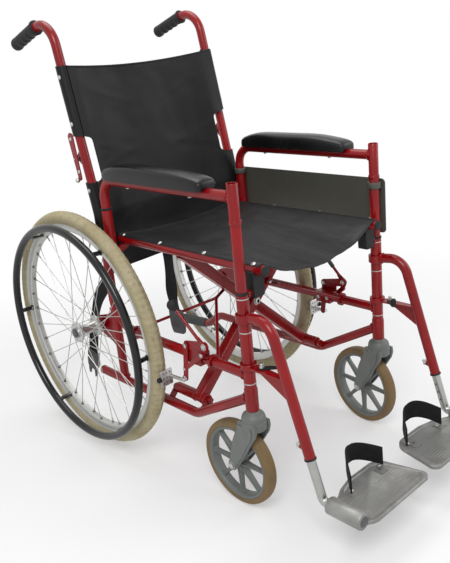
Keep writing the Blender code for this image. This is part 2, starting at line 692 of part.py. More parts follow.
def caster_wheel(side):
    """Moulded wheel: rim, hub and tapered spokes."""
    place = (FRAME_X, CASTER_Y, CASTER_RADIUS)
    outer = CASTER_SEAT - GAP
    inner = outer - CASTER_RIM_DEPTH
    half = CASTER_TYRE_WIDTH / 2 - 0.0015
    rim = turned([(outer, -half), (outer, half), (inner, half - 0.003), (inner, 0.003 - half)],
                 place, "X", CASTER_STEPS, phase=pi / 2)
    bore = bore_for(CASTER_AXLE_RADIUS)
    hub = turned([(bore, -CASTER_HUB_HALF), (CASTER_HUB_RADIUS - 0.003, -CASTER_HUB_HALF),
                  (CASTER_HUB_RADIUS, -0.011), (CASTER_HUB_RADIUS, 0.011),
                  (CASTER_HUB_RADIUS - 0.003, CASTER_HUB_HALF), (bore, CASTER_HUB_HALF)],
                 place, "X", ROUND)
    bars = []
    for k in range(CASTER_SPOKES):
        bar = from_rings([
            [(-d, -w, r), (d, -w, r), (d, w, r), (-d, w, r)]
            for r, w, d in ((CASTER_HUB_RADIUS - 0.0015, 0.0048, 0.0085),
                            (inner + 0.002, 0.0030, 0.0060))])
        turn = Matrix.Translation(place) @ Matrix.Rotation(2 * pi * k / CASTER_SPOKES, 4, "X")
        bmesh.ops.transform(bar, matrix=turn, verts=bar.verts)
        bars.append(bar)
    return solid("caster_wheel_" + SIDES[side], [joined([rim, hub]), joined(bars)],
                 "grey_plastic", side, origin=place, heading=CASTER_HEADING[side])


def caster_tyre(side):
    """Solid tyre pressed on the caster's rim."""
    half = CASTER_TYRE_WIDTH / 2
    place = (FRAME_X, CASTER_Y, CASTER_RADIUS)
    r = CASTER_RADIUS
    profile = [(CASTER_SEAT, -half), (r - 0.005, -half), (r, -half * 0.35), (r, half * 0.35),
               (r - 0.005, half), (CASTER_SEAT, half)]
    ring = turned(profile, place, "X", CASTER_STEPS, phase=pi / 2)
    return solid("caster_tyre_" + SIDES[side], [ring], "tan_tyre", side, origin=place,
                 heading=CASTER_HEADING[side])


def caster_axle(side):
    """Bolt and nut through the fork legs and the caster hub."""
    end = FORK_OUTER + GAP
    place = (FRAME_X, CASTER_Y, CASTER_RADIUS)
    profile = [(0.0055, -end - 0.0045), (0.0070, -end - 0.0035), (0.0070, -end),
               (CASTER_AXLE_RADIUS, -end), (CASTER_AXLE_RADIUS, end), (0.0070, end),
               (0.0070, end + 0.0035), (0.0055, end + 0.0045)]
    return solid("caster_axle_" + SIDES[side], [turned(profile, place, "X", 8, False)], "zinc",
                 side, origin=place, heading=CASTER_HEADING[side])


def seat_rail(side):
    """Seat rail tube with its rounded plug at the front."""
    x = side * SEAT_RAIL_X
    front = HUB_Y - SEAT_RAIL_FRONT
    rear = HUB_Y - SEAT_RAIL_REAR
    return turned([(TUBE_RADIUS * 0.7, front - 0.004), (TUBE_RADIUS, front),
                   (TUBE_RADIUS, rear), (TUBE_RADIUS * 0.8, rear + 0.002)],
                  (x, 0, SEAT_RAIL_Z), "Y", ROUND, False, pi / ROUND)


def cross_tube(name, y, low_side):
    """Square tube from a pivot sleeve at one side to the seat rail of the other."""
    low = Vector((low_side * CROSS_PIVOT_X, y, CROSS_PIVOT_Z))
    high = Vector((-low_side * SEAT_RAIL_X, y, SEAT_RAIL_Z))
    run = (high - low).normalized()
    across = Vector((0, 1, 0))
    face = run.cross(across)
    half = CROSS_TUBE / 2
    trim = half * 0.8
    corner = 0.0025
    section = [(half - corner, half), (half, half - corner), (half, corner - half),
               (half - corner, -half), (corner - half, -half), (-half, corner - half),
               (-half, half - corner), (corner - half, half)]
    tube = from_rings([[end + across * u + face * v for u, v in section]
                       for end in (low, high - run * trim)])
    sleeve = rod((low.x, HUB_Y - CROSS_SLEEVE_FRONT, low.z),
                 (low.x, HUB_Y - CROSS_SLEEVE_REAR, low.z), CROSS_SLEEVE_RADIUS)
    bore = rod((low.x, HUB_Y - 0.5, low.z), (low.x, HUB_Y - 0.1, low.z),
               bore_for(PIVOT_PIN_RADIUS))
    bolt_hole = rod((0, y - 0.05, CROSS_CENTRE_Z), (0, y + 0.05, CROSS_CENTRE_Z),
                    bore_for(CROSS_BOLT_RADIUS))
    return solid(name, [tube, sleeve, seat_rail(-low_side)], PAINT, LEFT, [bore, bolt_hole],
                 (low.x, y, low.z))


CROSS_CENTRE_Z = cross_point(CROSS_PIVOT_X / cos(atan2(
    SEAT_RAIL_Z - CROSS_PIVOT_Z, CROSS_PIVOT_X + SEAT_RAIL_X)))[1]


def cross_bolt():
    """Bolt and nut through both braces where they cross."""
    front = CROSS_FRONT_Y - CROSS_TUBE / 2 - GAP
    rear = CROSS_REAR_Y + CROSS_TUBE / 2 + GAP
    profile = [(0.0070, front - 0.005), (0.0085, front - 0.004), (0.0085, front),
               (CROSS_BOLT_RADIUS, front), (CROSS_BOLT_RADIUS, rear), (0.0085, rear),
               (0.0085, rear + 0.004), (0.0070, rear + 0.005)]
    return solid("cross_bolt", [turned(profile, (0, 0, CROSS_CENTRE_Z), "Y", 8, False)],
                 "zinc", origin=(0, CROSS_FRONT_Y, CROSS_CENTRE_Z))


def stay_link(side):
    """Forked rod: two eyes turn on the mid rail and its tip is pinned beside a brace."""
    # the left link reaches the front brace from ahead, the right one the rear brace from behind
    if side == LEFT:
        tip_y = CROSS_FRONT_Y - CROSS_TUBE / 2 - STAY_ROD - 0.001
    else:
        tip_y = CROSS_REAR_Y + CROSS_TUBE / 2 + STAY_ROD + 0.001
    tip = Vector((-STAY_X, tip_y, STAY_Z))
    pieces = [turned([(0.0045, -STAY_ROD * 0.9), (0.0085, -STAY_ROD * 0.9),
                      (0.0085, STAY_ROD * 0.9), (0.0045, STAY_ROD * 0.9)], tip, "Y", ROUND)]
    outer = TUBE_RADIUS + 0.0050
    for forward in (STAY_FRONT_FOOT, STAY_REAR_FOOT):
        foot = Vector((FRAME_X, HUB_Y - forward, MID_RAIL_Z))
        inner = bore_for(TUBE_RADIUS, gap=0.0005)
        eye = turned([(inner, -0.004), (outer, -0.004), (outer, 0.004), (inner, 0.004)],
                     foot, "Y", ROUND)
        reach = foot - tip
        knee = tip + Vector((reach.x, 0, reach.z)) * 0.2
        start = tip + Vector((reach.x, 0, reach.z)).normalized() * 0.0065
        flat = Vector((reach.x, 0, reach.z)).normalized()
        stop = foot - flat * (outer - 0.001)
        pieces += [eye, sweep(rounded_path([start, knee, stop], [0.02], 2), STAY_ROD, 6)]
    return solid("stay_link_" + SIDES[side], pieces, PAINT, side,
                 origin=(FRAME_X, tip_y, MID_RAIL_Z))


def armrest_frame(side):
    """Front leg and a top tube that bends down into the rear leg. Both legs drop in sockets."""
    x = FRAME_X
    base = SOCKET_TOP - ARM_INSERTION
    rear_base = REAR_SOCKET_TOP - ARM_INSERTION
    rail = rounded_path([(x, POST_Y, ARM_RAIL_Z), (x, ARM_REAR_Y, ARM_RAIL_Z),
                         (x, ARM_REAR_Y, rear_base)], [ARM_BEND], 4)
    collar = turned([(TUBE_RADIUS - 0.001, -0.004), (POST_RADIUS, -0.003),
                     (POST_RADIUS, 0.003), (TUBE_RADIUS - 0.001, 0.004)],
                    (x, POST_Y, ARM_COLLAR_Z), "Z", ROUND, False)
    leg = rod((x, POST_Y, base), (x, POST_Y, ARM_FRONT_TOP), TUBE_RADIUS)
    mouth = rod((x, POST_Y, ARM_FRONT_TOP - 0.008), (x, POST_Y, ARM_FRONT_TOP + 0.01),
                TUBE_RADIUS - WALL)
    return solid("armrest_frame_" + SIDES[side], [leg, sweep(rail, TUBE_RADIUS), collar],
                 PAINT, side, [mouth])


def arm_pad(side):
    """Moulded pad: flat base, crowned top, rounded rear end and a bevelled nose."""
    base = ARM_RAIL_Z + TUBE_RADIUS + GAP
    rear = HUB_Y - PAD_REAR
    front = HUB_Y - PAD_FRONT
    # place along the pad from rear to front, then width, top height and base lift
    stations = [(0.00, 0.72, 0.52, 0.10), (0.02, 0.90, 0.80, 0.02), (0.07, 1.00, 0.97, 0.0),
                (0.35, 1.00, 1.00, 0.0), (0.65, 1.00, 0.97, 0.0), (0.86, 0.98, 0.86, 0.0),
                (0.95, 0.92, 0.62, 0.0), (1.00, 0.80, 0.34, 0.05)]
    section = [(-0.92, 0.0), (-1.0, 0.12), (-1.0, 0.52), (-0.90, 0.80), (-0.62, 0.95), (0.0, 1.0),
               (0.62, 0.95), (0.90, 0.80), (1.0, 0.52), (1.0, 0.12), (0.92, 0.0)]
    rings = []
    for place, width, top, lift in stations:
        y = rear + (front - rear) * place
        rings.append([(FRAME_X + u * width * PAD_WIDTH / 2, y,
                       base + PAD_HEIGHT * (lift + v * (top - lift))) for u, v in section])
    return solid("arm_pad_" + SIDES[side], [from_rings(rings)], "black_vinyl", side, smooth=50)


def skirt_guard():
    """Board beside the seat, held to the left armrest's legs by two clips."""
    x = GUARD_X
    half = GUARD_THICKNESS / 2
    rear = HUB_Y - GUARD_REAR
    front = HUB_Y - GUARD_FRONT
    corner = 0.010
    outline = arc((rear - corner, GUARD_TOP - corner), corner, 0, 90, 3) + \
        arc((front + corner, GUARD_TOP - corner), corner, 90, 180, 3) + \
        arc((front + corner, GUARD_BOTTOM + corner), corner, 180, 270, 3) + \
        arc((rear - corner, GUARD_BOTTOM + corner), corner, 270, 360, 3)
    clips = []
    for y, z in ((POST_Y, 0.6200), (ARM_REAR_Y, 0.6250)):
        inner = TUBE_RADIUS + 2 * GAP
        outer = (x - FRAME_X) / cos(pi / ROUND)
        clips.append(turned([(inner, -0.007), (outer, -0.007), (outer, 0.007), (inner, 0.007)],
                            (FRAME_X, y, z), "Z", ROUND, phase=pi / ROUND))
    return solid("skirt_guard_left", [slab(outline, x - half, x + half), *clips],
                 "guard_board", LEFT)


def back_cane(side):
    """Upper half of the back post, bent over into the push handle, with hinge ears and pin."""
    x = FRAME_X
    base = BACK_JOINT_Z
    corner = (x, HUB_Y + HANDLE_CORNER_BACK, HANDLE_CORNER_Z)
    end_y = HUB_Y + GRIP_END - 0.004
    end = (x, end_y, HANDLE_CORNER_Z - (end_y - corner[1]) * HANDLE_DROOP)
    path = rounded_path([(x, back_y(base), base), corner, end], [HANDLE_BEND], 5)
    pieces = [sweep(path, TUBE_RADIUS)]
    for s in (1, -1):
        pieces.append(slab(
            bar_outline((back_y(base + 0.022), base + 0.018), (BACK_PIN_Y, base), 0.0080, 0.0070),
            x + s * 0.0034 - 0.0012, x + s * 0.0034 + 0.0012))
    pieces.append(rod((x - 0.0060, BACK_PIN_Y, base), (x + 0.0168, BACK_PIN_Y, base),
                      BACK_PIN_RADIUS))
    return solid("back_cane_" + SIDES[side], pieces, PAINT, side,
                 origin=(x, BACK_PIN_Y, BACK_JOINT_Z))


def push_grip(side):
    """Rubber grip with finger grooves underneath and a collar at its root."""
    start = HUB_Y + GRIP_START
    end = HUB_Y + GRIP_END
    length = end - start
    tilt = atan(HANDLE_DROOP)
    corner_y = HUB_Y + HANDLE_CORNER_BACK
    rings = []
    steps = 2 * FINGER_GROOVES + 1
    rows = [(0.0, 1.14, 0.0), (0.06, 1.0, 0.0)]
    for k in range(steps):
        rows.append((0.12 + 0.76 * k / (steps - 1), 1.0, 0.16 if k % 2 else 0.0))
    rows += [(0.93, 1.02, 0.0), (0.98, 0.95, 0.0), (1.0, 0.70, 0.0)]
    for place, size, groove in rows:
        y = start + length * place
        z = HANDLE_CORNER_Z - (y - corner_y) * HANDLE_DROOP
        ring = []
        for k in range(10):
            t = 2 * pi * (k + 0.5) / 10
            under = max(0.0, -sin(t))
            r = GRIP_RADIUS * (size - groove * under)
            ring.append(Vector((FRAME_X + r * cos(t), y + r * sin(t) * sin(tilt),
                                z + r * sin(t) * cos(tilt))))
        rings.append(ring)
    bore_end = HUB_Y + GRIP_END - 0.004 + GAP
    hole = rod((FRAME_X, start - 0.02, HANDLE_CORNER_Z - (start - 0.02 - corner_y) * HANDLE_DROOP),
               (FRAME_X, bore_end, HANDLE_CORNER_Z - (bore_end - corner_y) * HANDLE_DROOP),
               (TUBE_RADIUS + GAP) / cos(pi / ROUND))
    return solid("push_grip_" + SIDES[side], [from_rings(rings)], "black_rubber", side, [hole],
                 smooth=60)


def back_latch(side):
    """Flat release lever outside the folding joint, on the hinge pin, with a ball at its foot."""
    x = FRAME_X + 0.0135
    top = (back_y(0.785) + 0.0240, 0.785)
    foot = (back_y(0.690) + 0.0255, 0.690)
    plate = slab(bar_outline(top, foot, 0.0075, 0.0065), x - 0.0012, x + 0.0012)
    ball_y = foot[0] + 0.0060
    ball = turned([(0.0018, -0.0055), (0.0045, -0.0040), (0.0058, 0.0), (0.0045, 0.0040),
                   (0.0018, 0.0055)], (x + 0.0044, ball_y, foot[1] - 0.0060), "Z", 8, False)
    hole = rod((x - 0.01, BACK_PIN_Y, BACK_JOINT_Z), (x + 0.01, BACK_PIN_Y, BACK_JOINT_Z),
               bore_for(BACK_PIN_RADIUS))
    return solid("back_latch_" + SIDES[side], [plate, ball], PAINT, side, [hole],
                 (x, BACK_PIN_Y, BACK_JOINT_Z))


def footrest_hanger(side):
    """Bent tube on two collars round the front post, with a gusset and a clamp boss."""
    x = HANGER_X
    corner = (x, POST_Y - HANGER_CORNER, HANGER_TOP_Z)
    path = rounded_path([(FRAME_X, POST_Y - POST_RADIUS - 0.003, HANGER_TOP_Z - 0.006), corner,
                         (x, hanger_y(HANGER_END_Z), HANGER_END_Z)], [0.042], 3)
    inner = bore_for(POST_RADIUS, gap=0.0004)
    outer = inner + 0.0040
    half = HANGER_COLLAR / 2
    pieces = [sweep(path, TUBE_RADIUS)]
    for z, tall in ((HANGER_TOP_Z - 0.008, half), (HANGER_LATCH_Z, half * 0.7)):
        pieces.append(turned([(inner, z - tall), (outer, z - tall), (outer, z + tall),
                              (inner, z + tall)], (FRAME_X, POST_Y, 0), "Z", ROUND))
    z = HANGER_LATCH_Z
    front = hanger_y(z)
    pieces.append(slab([(FRAME_X - 0.011, POST_Y - outer + 0.002),
                        (FRAME_X + 0.012, POST_Y - outer + 0.002),
                        (x + 0.007, front + 0.004), (x - 0.007, front + 0.004)],
                       z - 0.002, z + 0.002, "XY"))
    low = z - 0.050
    pieces.append(slab([(POST_Y - outer - 0.006, z - 0.001), (front + 0.003, z - 0.001),
                        (hanger_y(low) + 0.003, low), (hanger_y(low) + 0.014, low + 0.006),
                        (POST_Y - outer - 0.020, z - 0.006)], x - 0.0020, x + 0.0020))
    knob_z = HANGER_END_Z + 0.018
    knob_y = hanger_y(knob_z)
    pieces.append(rod((x, knob_y + 0.008, knob_z + 0.002), (x, knob_y + 0.018, knob_z + 0.005),
                      0.0055, 8))
    pieces.append(rod((x, knob_y + 0.017, knob_z + 0.0048), (x, knob_y + 0.028, knob_z + 0.008),
                      0.0070, 6))
    upper = FOOT_POST_TOP_Z + 0.060
    bore = rod((x, hanger_y(upper), upper), (x, hanger_y(0.15), 0.15), FOOT_POST_RADIUS + GAP)
    return solid("footrest_hanger_" + SIDES[side], pieces, PAINT, side, [bore],
                 (FRAME_X, POST_Y, HANGER_TOP_Z))


def hanger_latch(side):
    """Thumb lever that turns on the latch plate and hooks the frame."""
    z = HANGER_LATCH_Z + 0.002 + GAP
    pivot = (FRAME_X - 0.001, POST_Y - 0.037)
    tip = (FRAME_X - 0.024, POST_Y - 0.062)
    lever = slab(bar_outline(pivot, tip, 0.0075, 0.0050), z, z + 0.003, "XY")
    stud = rod((pivot[0], pivot[1], z + 0.001), (pivot[0], pivot[1], z + 0.0125), 0.0045, 8)
    tongue = turned([(0.0035, 0.001), (0.0058, 0.003), (0.0058, 0.016), (0.0040, 0.019)],
                    (tip[0], tip[1], z), "Z", 10, False)
    return solid("hanger_latch_" + SIDES[side], [lever, stud, tongue], "black_rubber", side,
                 origin=(pivot[0], pivot[1], z))


def footrest_post(side):
    """Plated tube: slides in the hanger, then bends forward to be the footplate's hinge."""
    x = HANGER_X
    path = rounded_path([(x, hanger_y(FOOT_POST_TOP_Z), FOOT_POST_TOP_Z),
                         (x, FOOT_CORNER_Y, FOOT_AXIS_Z),
                         (x, BARREL_FRONT_Y + 0.006, FOOT_AXIS_Z)], [0.013], 3)
    return solid("footrest_post_" + SIDES[side], [sweep(path, FOOT_POST_RADIUS)], "chrome", side,
                 origin=(x, FOOT_CORNER_Y, FOOT_AXIS_Z))


def footplate_outline(inset=0.0):
    """Top view of the cast plate from its barrel to its rounded inner end."""
    front = HUB_Y - FOOTPLATE_FRONT + inset
    rear = HUB_Y - FOOTPLATE_REAR - inset
    inner = FOOTPLATE_INNER_X + inset
    outer = HANGER_X - FOOT_BARREL_RADIUS * 0.55 - inset * 0.3
    return arc((inner + 0.016, front + 0.018), 0.0170, 185, 262, 3) + \
        [(outer - 0.020, front), (outer, front + 0.010),
         (outer, BARREL_REAR_Y - 0.004 - inset), (outer - 0.045, rear - 0.010),
         (outer - 0.085, rear)] + arc((inner + 0.050, rear - 0.034), 0.0340, 88, 170, 4)


def footplate(side):
    """Cast plate with a raised border, ribs beneath and a hinge barrel along its outer edge."""
    low = FOOTPLATE_TOP - FOOTPLATE_THICKNESS
    x = HANGER_X
    y0, y1 = BARREL_FRONT_Y, BARREL_REAR_Y
    barrel = turned([(FOOT_BARREL_RADIUS * 0.92, y0), (FOOT_BARREL_RADIUS, y0 + 0.003),
                     (FOOT_BARREL_RADIUS, y1 - 0.003), (FOOT_BARREL_RADIUS * 0.92, y1)],
                    (x, 0, FOOT_AXIS_Z), "Y", 12, False)
    plate = slab(footplate_outline(), low, FOOTPLATE_TOP, "XY")
    # the tread is sunk, but its border widens into two pads under the heel loop's ends
    pad_y = HUB_Y - FOOTPLATE_REAR - LOOP_FEET_FORWARD - 0.007
    floor = FOOTPLATE_TOP - TREAD_DEPTH
    inside = [(u, min(v, pad_y)) for u, v in footplate_outline(FOOTPLATE_BORDER)]
    tread = slab(without_doubles(inside), floor, FOOTPLATE_TOP + 0.01, "XY")
    between = block((LOOP_INNER_X + 0.007, pad_y - 0.002, floor),
                    (LOOP_OUTER_X - 0.007, HUB_Y - FOOTPLATE_REAR - FOOTPLATE_BORDER,
                     FOOTPLATE_TOP + 0.01))
    ribs = []
    for k in range(2):
        rib_x = FOOTPLATE_INNER_X + 0.060 + 0.065 * k
        ribs.append(block((rib_x - 0.0015, HUB_Y - FOOTPLATE_FRONT + 0.012, low - 0.004),
                          (rib_x + 0.0015, HUB_Y - FOOTPLATE_REAR - 0.014, low + 0.002)))
    hole = rod((x, y0 + 0.004, FOOT_AXIS_Z), (x, y1 + 0.02, FOOT_AXIS_Z),
               bore_for(FOOT_POST_RADIUS))
    return solid("footplate_" + SIDES[side], [plate, barrel, joined(ribs)], "cast_aluminium",
                 side, [tread, between, hole], (x, BARREL_REAR_Y, FOOT_AXIS_Z))


def without_doubles(outline):
    """An outline without points that lie on their neighbour or between two on one line."""
    kept = []
    count = len(outline)
    for i, here in enumerate(outline):
        before = Vector(outline[i - 1])
        after = Vector(outline[(i + 1) % count])
        into = Vector(here) - before
        out = after - Vector(here)
        if into.length > 1e-6 and abs(into.x * out.y - into.y * out.x) > 1e-9:
            kept.append(here)
    return kept


def heel_loop(side):
    """Webbing loop that stands on the footplate's rear pads and bows back behind the heel."""
    feet_y = HUB_Y - FOOTPLATE_REAR - LOOP_FEET_FORWARD
    run = LOOP_INNER_X - LOOP_OUTER_X
    rings = []
    steps = 10
    for k in range(steps + 1):
        t = k / steps
        bow = sin(pi * t)
        slope = Vector((run, LOOP_BOW * pi * cos(pi * t), 0)).normalized()
        side_way = Vector((-slope.y, slope.x, 0)) * WEBBING / 2
        here = Vector((LOOP_OUTER_X + run * t, feet_y + LOOP_BOW * bow,
                       FOOTPLATE_TOP + GAP + LOOP_RISE * bow))
        up = Vector((0, 0, LOOP_WIDTH))
        rings.append([here - side_way, here + side_way, here + side_way + up,
                      here - side_way + up])
    return solid("heel_loop_" + SIDES[side], [from_rings(rings)], "black_vinyl", side, smooth=60)


def brake_bracket(side):
    """Clamp block on the mid rail with the outer plate that carries the brake's pivots."""
    y0 = HUB_Y - BRAKE_PIVOT_FORWARD
    y1 = HUB_Y - SHOE_PIVOT_FORWARD
    outer = FRAME_X + TUBE_RADIUS + GAP
    plate = slab(bar_outline((y0, BRAKE_PIVOT_Z), (y1, SHOE_PIVOT_Z), 0.0100, 0.0100),
                 BRAKE_PLATE_X - BRAKE_PLATE / 2, BRAKE_PLATE_X + BRAKE_PLATE / 2)
    clamp = block((FRAME_X - TUBE_RADIUS - 0.003, y1 - 0.040, MID_RAIL_Z - TUBE_RADIUS - 0.003),
                  (BRAKE_PLATE_X, y1 + 0.006, MID_RAIL_Z + TUBE_RADIUS + 0.018))
    pins = [rod((BRAKE_PLATE_X, y, z), (BRAKE_LEVER_X + 0.0020, y, z), BRAKE_PIN_RADIUS)
            for y, z in ((y0, BRAKE_PIVOT_Z), (y1, SHOE_PIVOT_Z))]
    hole = rod((FRAME_X, HUB_Y - 0.5, MID_RAIL_Z), (FRAME_X, HUB_Y - 0.3, MID_RAIL_Z),
               (TUBE_RADIUS + GAP) / cos(pi / ROUND))
    over = block((FRAME_X - 0.05, y1 - 0.05, MID_RAIL_Z + TUBE_RADIUS + 0.003),
                 (outer - 0.001, y1 + 0.02, MID_RAIL_Z + 0.06))
    return solid("brake_bracket_" + SIDES[side], [clamp, plate, *pins], PAINT, side,
                 [hole, over])


BRAKE_LEVER_X = BRAKE_PLATE_X + BRAKE_PLATE / 2 + 0.0022
BRAKE_TAIL = (HUB_Y - BRAKE_PIVOT_FORWARD + BRAKE_TAIL_REACH * cos(BRAKE_TAIL_TURN),
              BRAKE_PIVOT_Z + BRAKE_TAIL_REACH * sin(BRAKE_TAIL_TURN))


def brake_lever(side):
    """Bent lever with a ball knob. It turns on the bracket's front pin."""
    x = BRAKE_LEVER_X
    pivot = Vector((x, HUB_Y - BRAKE_PIVOT_FORWARD, BRAKE_PIVOT_Z))
    knob = Vector((x + 0.006, HUB_Y - BRAKE_KNOB_FORWARD, BRAKE_KNOB_Z))
    reach = (knob - pivot).normalized()
    tail = BRAKE_TAIL
    root = pivot + reach * 0.022
    plate = slab(bar_outline((pivot.y, pivot.z), tail, 0.0085, 0.0060), x - 0.0015, x + 0.0015)
    arm = slab(bar_outline((pivot.y, pivot.z), (root.y, root.z), 0.0084, 0.0045),
               x - 0.0014, x + 0.0016)
    bar = sweep([pivot + reach * 0.016, knob - reach * 0.010], 0.0036, 8)
    r = BRAKE_KNOB_RADIUS
    turns = [radians(-75 + 150 * k / 4) for k in range(5)]
    ball = turned([(r * cos(t), r * sin(t)) for t in turns], knob, "Z", 8, False)
    link_pin = rod((x, *tail), (x + 0.0070, *tail), BRAKE_PIN_RADIUS)
    hole = rod((x - 0.02, pivot.y, pivot.z), (x + 0.02, pivot.y, pivot.z),
               bore_for(BRAKE_PIN_RADIUS))
    return solid("brake_lever_" + SIDES[side], [plate, arm, bar, ball, link_pin], PAINT, side,
                 [hole], tuple(pivot))


def shoe_face_y():
    """Forward face of the tyre at the shoe's height, less the released brake's gap."""
    drop = WHEEL_RADIUS - SHOE_Z
    return HUB_Y - sqrt(WHEEL_RADIUS ** 2 - drop ** 2) - SHOE_GAP


SHOE_Z = 0.262


def brake_shoe(side):
    """Hanging arm with a stub that carries the serrated shoe in front of the tyre."""
    x = BRAKE_LEVER_X
    pivot = (HUB_Y - SHOE_PIVOT_FORWARD, SHOE_PIVOT_Z)
    low = (HUB_Y - BRAKE_LINK_FORWARD + 0.004, BRAKE_LINK_Z - 0.024)
    arm = slab(bar_outline(pivot, low, 0.0070, 0.0065), x - 0.0015, x + 0.0015)
    face = shoe_face_y()
    stub = rod((x - 0.001, low[0] + 0.001, low[1]), (WHEEL_X - 0.010, low[0] + 0.001, low[1]),
               0.0045, 8)
    carrier = rod((WHEEL_X - 0.013, low[0] - 0.0045, low[1] - 0.001),
                  (WHEEL_X - 0.013, face - 0.002, SHOE_Z), 0.0042, 8)
    outline = []
    for k in range(8):
        z = SHOE_Z - 0.019 + 0.038 * k / 7
        outline.append((face - (0.0016 if k % 2 else 0.0), z))
    outline += [(face - 0.0045, SHOE_Z + 0.019), (face - 0.0045, SHOE_Z - 0.019)]
    shoe = slab(outline, WHEEL_X - 0.017, WHEEL_X + 0.015)
    hole = rod((x - 0.02, *pivot), (x + 0.02, *pivot), bore_for(BRAKE_PIN_RADIUS))
    return solid("brake_shoe_" + SIDES[side], [arm, stub, carrier, shoe], "zinc", side, [hole],
                 (x, *pivot))


def brake_link(side):
    """Short link from the lever's tail to the shoe arm."""
    x = BRAKE_LEVER_X + 0.0015 + 0.0015 + GAP
    end = (HUB_Y - BRAKE_LINK_FORWARD, BRAKE_LINK_Z)
    link = slab(bar_outline(BRAKE_TAIL, end, 0.0060, 0.0050), x - 0.0012, x + 0.0012)
    hole = rod((x - 0.01, *BRAKE_TAIL), (x + 0.01, *BRAKE_TAIL), bore_for(BRAKE_PIN_RADIUS))
    return solid("brake_link_" + SIDES[side], [link], PAINT, side, [hole], (x, *BRAKE_TAIL))


def tipping_sleeve():
    """Ribbed rubber sleeve pushed on the left tipping lever."""
    x = FRAME_X
    rail_rear = HUB_Y + LOWER_RAIL_REAR
    start = Vector((x, rail_rear + 0.075, LOWER_RAIL_Z - TIPPING_DROP))
    end = Vector((x, HUB_Y + TIPPING_LENGTH, LOWER_RAIL_Z - TIPPING_DROP - 0.013))
    run = (end - start).normalized()
    inner = (TUBE_RADIUS + GAP) / cos(pi / ROUND)
    back = end + run * 0.004
    front = end - run * TIPPING_SLEEVE
    tube = sweep([front, front + run * 0.004, back - run * 0.005, back],
                 [inner + 0.0018, inner + 0.0028, inner + 0.0028, inner + 0.0010], 10)
    hole = sweep([front - run * 0.01, end + run * GAP], inner, 10)
    return solid("tipping_sleeve_left", [tube], "sleeve_rubber", LEFT, [hole])


def seat_sling():
    """Vinyl seat: wrapped over both rails and sagging between them, lowest at the front."""
    turns = [radians(SLING_EDGE + (110 - SLING_EDGE) * k / 3) for k in range(4)]
    wrap = (TUBE_RADIUS + 2 * GAP + SLING_THICKNESS / 2) / cos((turns[1] - turns[0]) / 2)
    half = SEAT_RAIL_X
    front = HUB_Y - SEAT_RAIL_FRONT + 0.006
    rear = HUB_Y - SEAT_RAIL_REAR - 0.006
    rows = 5
    across = 10
    rings = []
    for j in range(rows + 1):
        t = j / rows
        y = rear + (front - rear) * t
        sag = 0.016 + 0.034 * t ** 2
        centre = [(half + wrap * cos(t), SEAT_RAIL_Z + wrap * sin(t)) for t in turns]
        points = list(centre)
        for k in range(1, across):
            u = 1 - 2 * k / across
            drop = sag * (1 - u ** 2) + 0.0035 * t * sin(5 * pi * u + 1.2) * (1 - u ** 4)
            points.append((u * half * 0.965, SEAT_RAIL_Z + wrap - drop))
        points += [(-x, z) for x, z in reversed(centre)]
        rings.append((y, points))
    return sheet_solid("seat_sling", rings, SLING_THICKNESS)


def sheet_solid(name, rows, thickness):
    """Closed sheet from rows of (place, profile), thickened along each profile's normal."""
    loops = []
    for y, points in rows:
        count = len(points)
        upper = []
        lower = []
        for i, (u, v) in enumerate(points):
            a = points[max(i - 1, 0)]
            b = points[min(i + 1, count - 1)]
            run = Vector((b[0] - a[0], b[1] - a[1])).normalized()
            side = Vector((-run.y, run.x)) * thickness / 2
            upper.append(Vector((u + side.x, y, v + side.y)))
            lower.append(Vector((u - side.x, y, v - side.y)))
        loops.append(upper + list(reversed(lower)))
    return solid(name, [from_rings(loops)], "black_vinyl", smooth=60)


SLEEVE_STEP = radians(45)


def back_sling():
    """Vinyl back: a sleeve on each post above and below the folding joint, waisted beside it."""
    slant = sqrt(1 + BACK_LEAN ** 2)
    wrap = (TUBE_RADIUS * slant + 3 * GAP + SLING_THICKNESS / 2) / cos(SLEEVE_STEP / 2)
    heights = [BACK_SLING_BASE, BACK_SLING_SLEEVE_BASE, BACK_BEND_Z, BACK_SLING_WINDOW_BASE,
               BACK_JOINT_Z, BACK_SLING_WINDOW_TOP, (BACK_SLING_WINDOW_TOP + BACK_SLING_TOP) / 2,
               BACK_SLING_TOP]
    loops = []
    for z in heights:
        loops.append(back_sling_loop(z, wrap))
    windows = []
    for s in (1, -1):
        windows.append(block((min(s * 0.192, s * 0.30), BACK_Y - 0.1, BACK_SLING_WINDOW_BASE),
                             (max(s * 0.192, s * 0.30), BACK_Y + 0.2, BACK_SLING_WINDOW_TOP)))
        windows.append(block((min(s * 0.186, s * 0.30), BACK_Y - 0.1, BACK_SLING_BASE - 0.1),
                             (max(s * 0.186, s * 0.30), BACK_Y + 0.2, BACK_SLING_SLEEVE_BASE)))
    return solid("back_sling", [from_rings(loops)], "black_vinyl", cuts=windows, smooth=60)


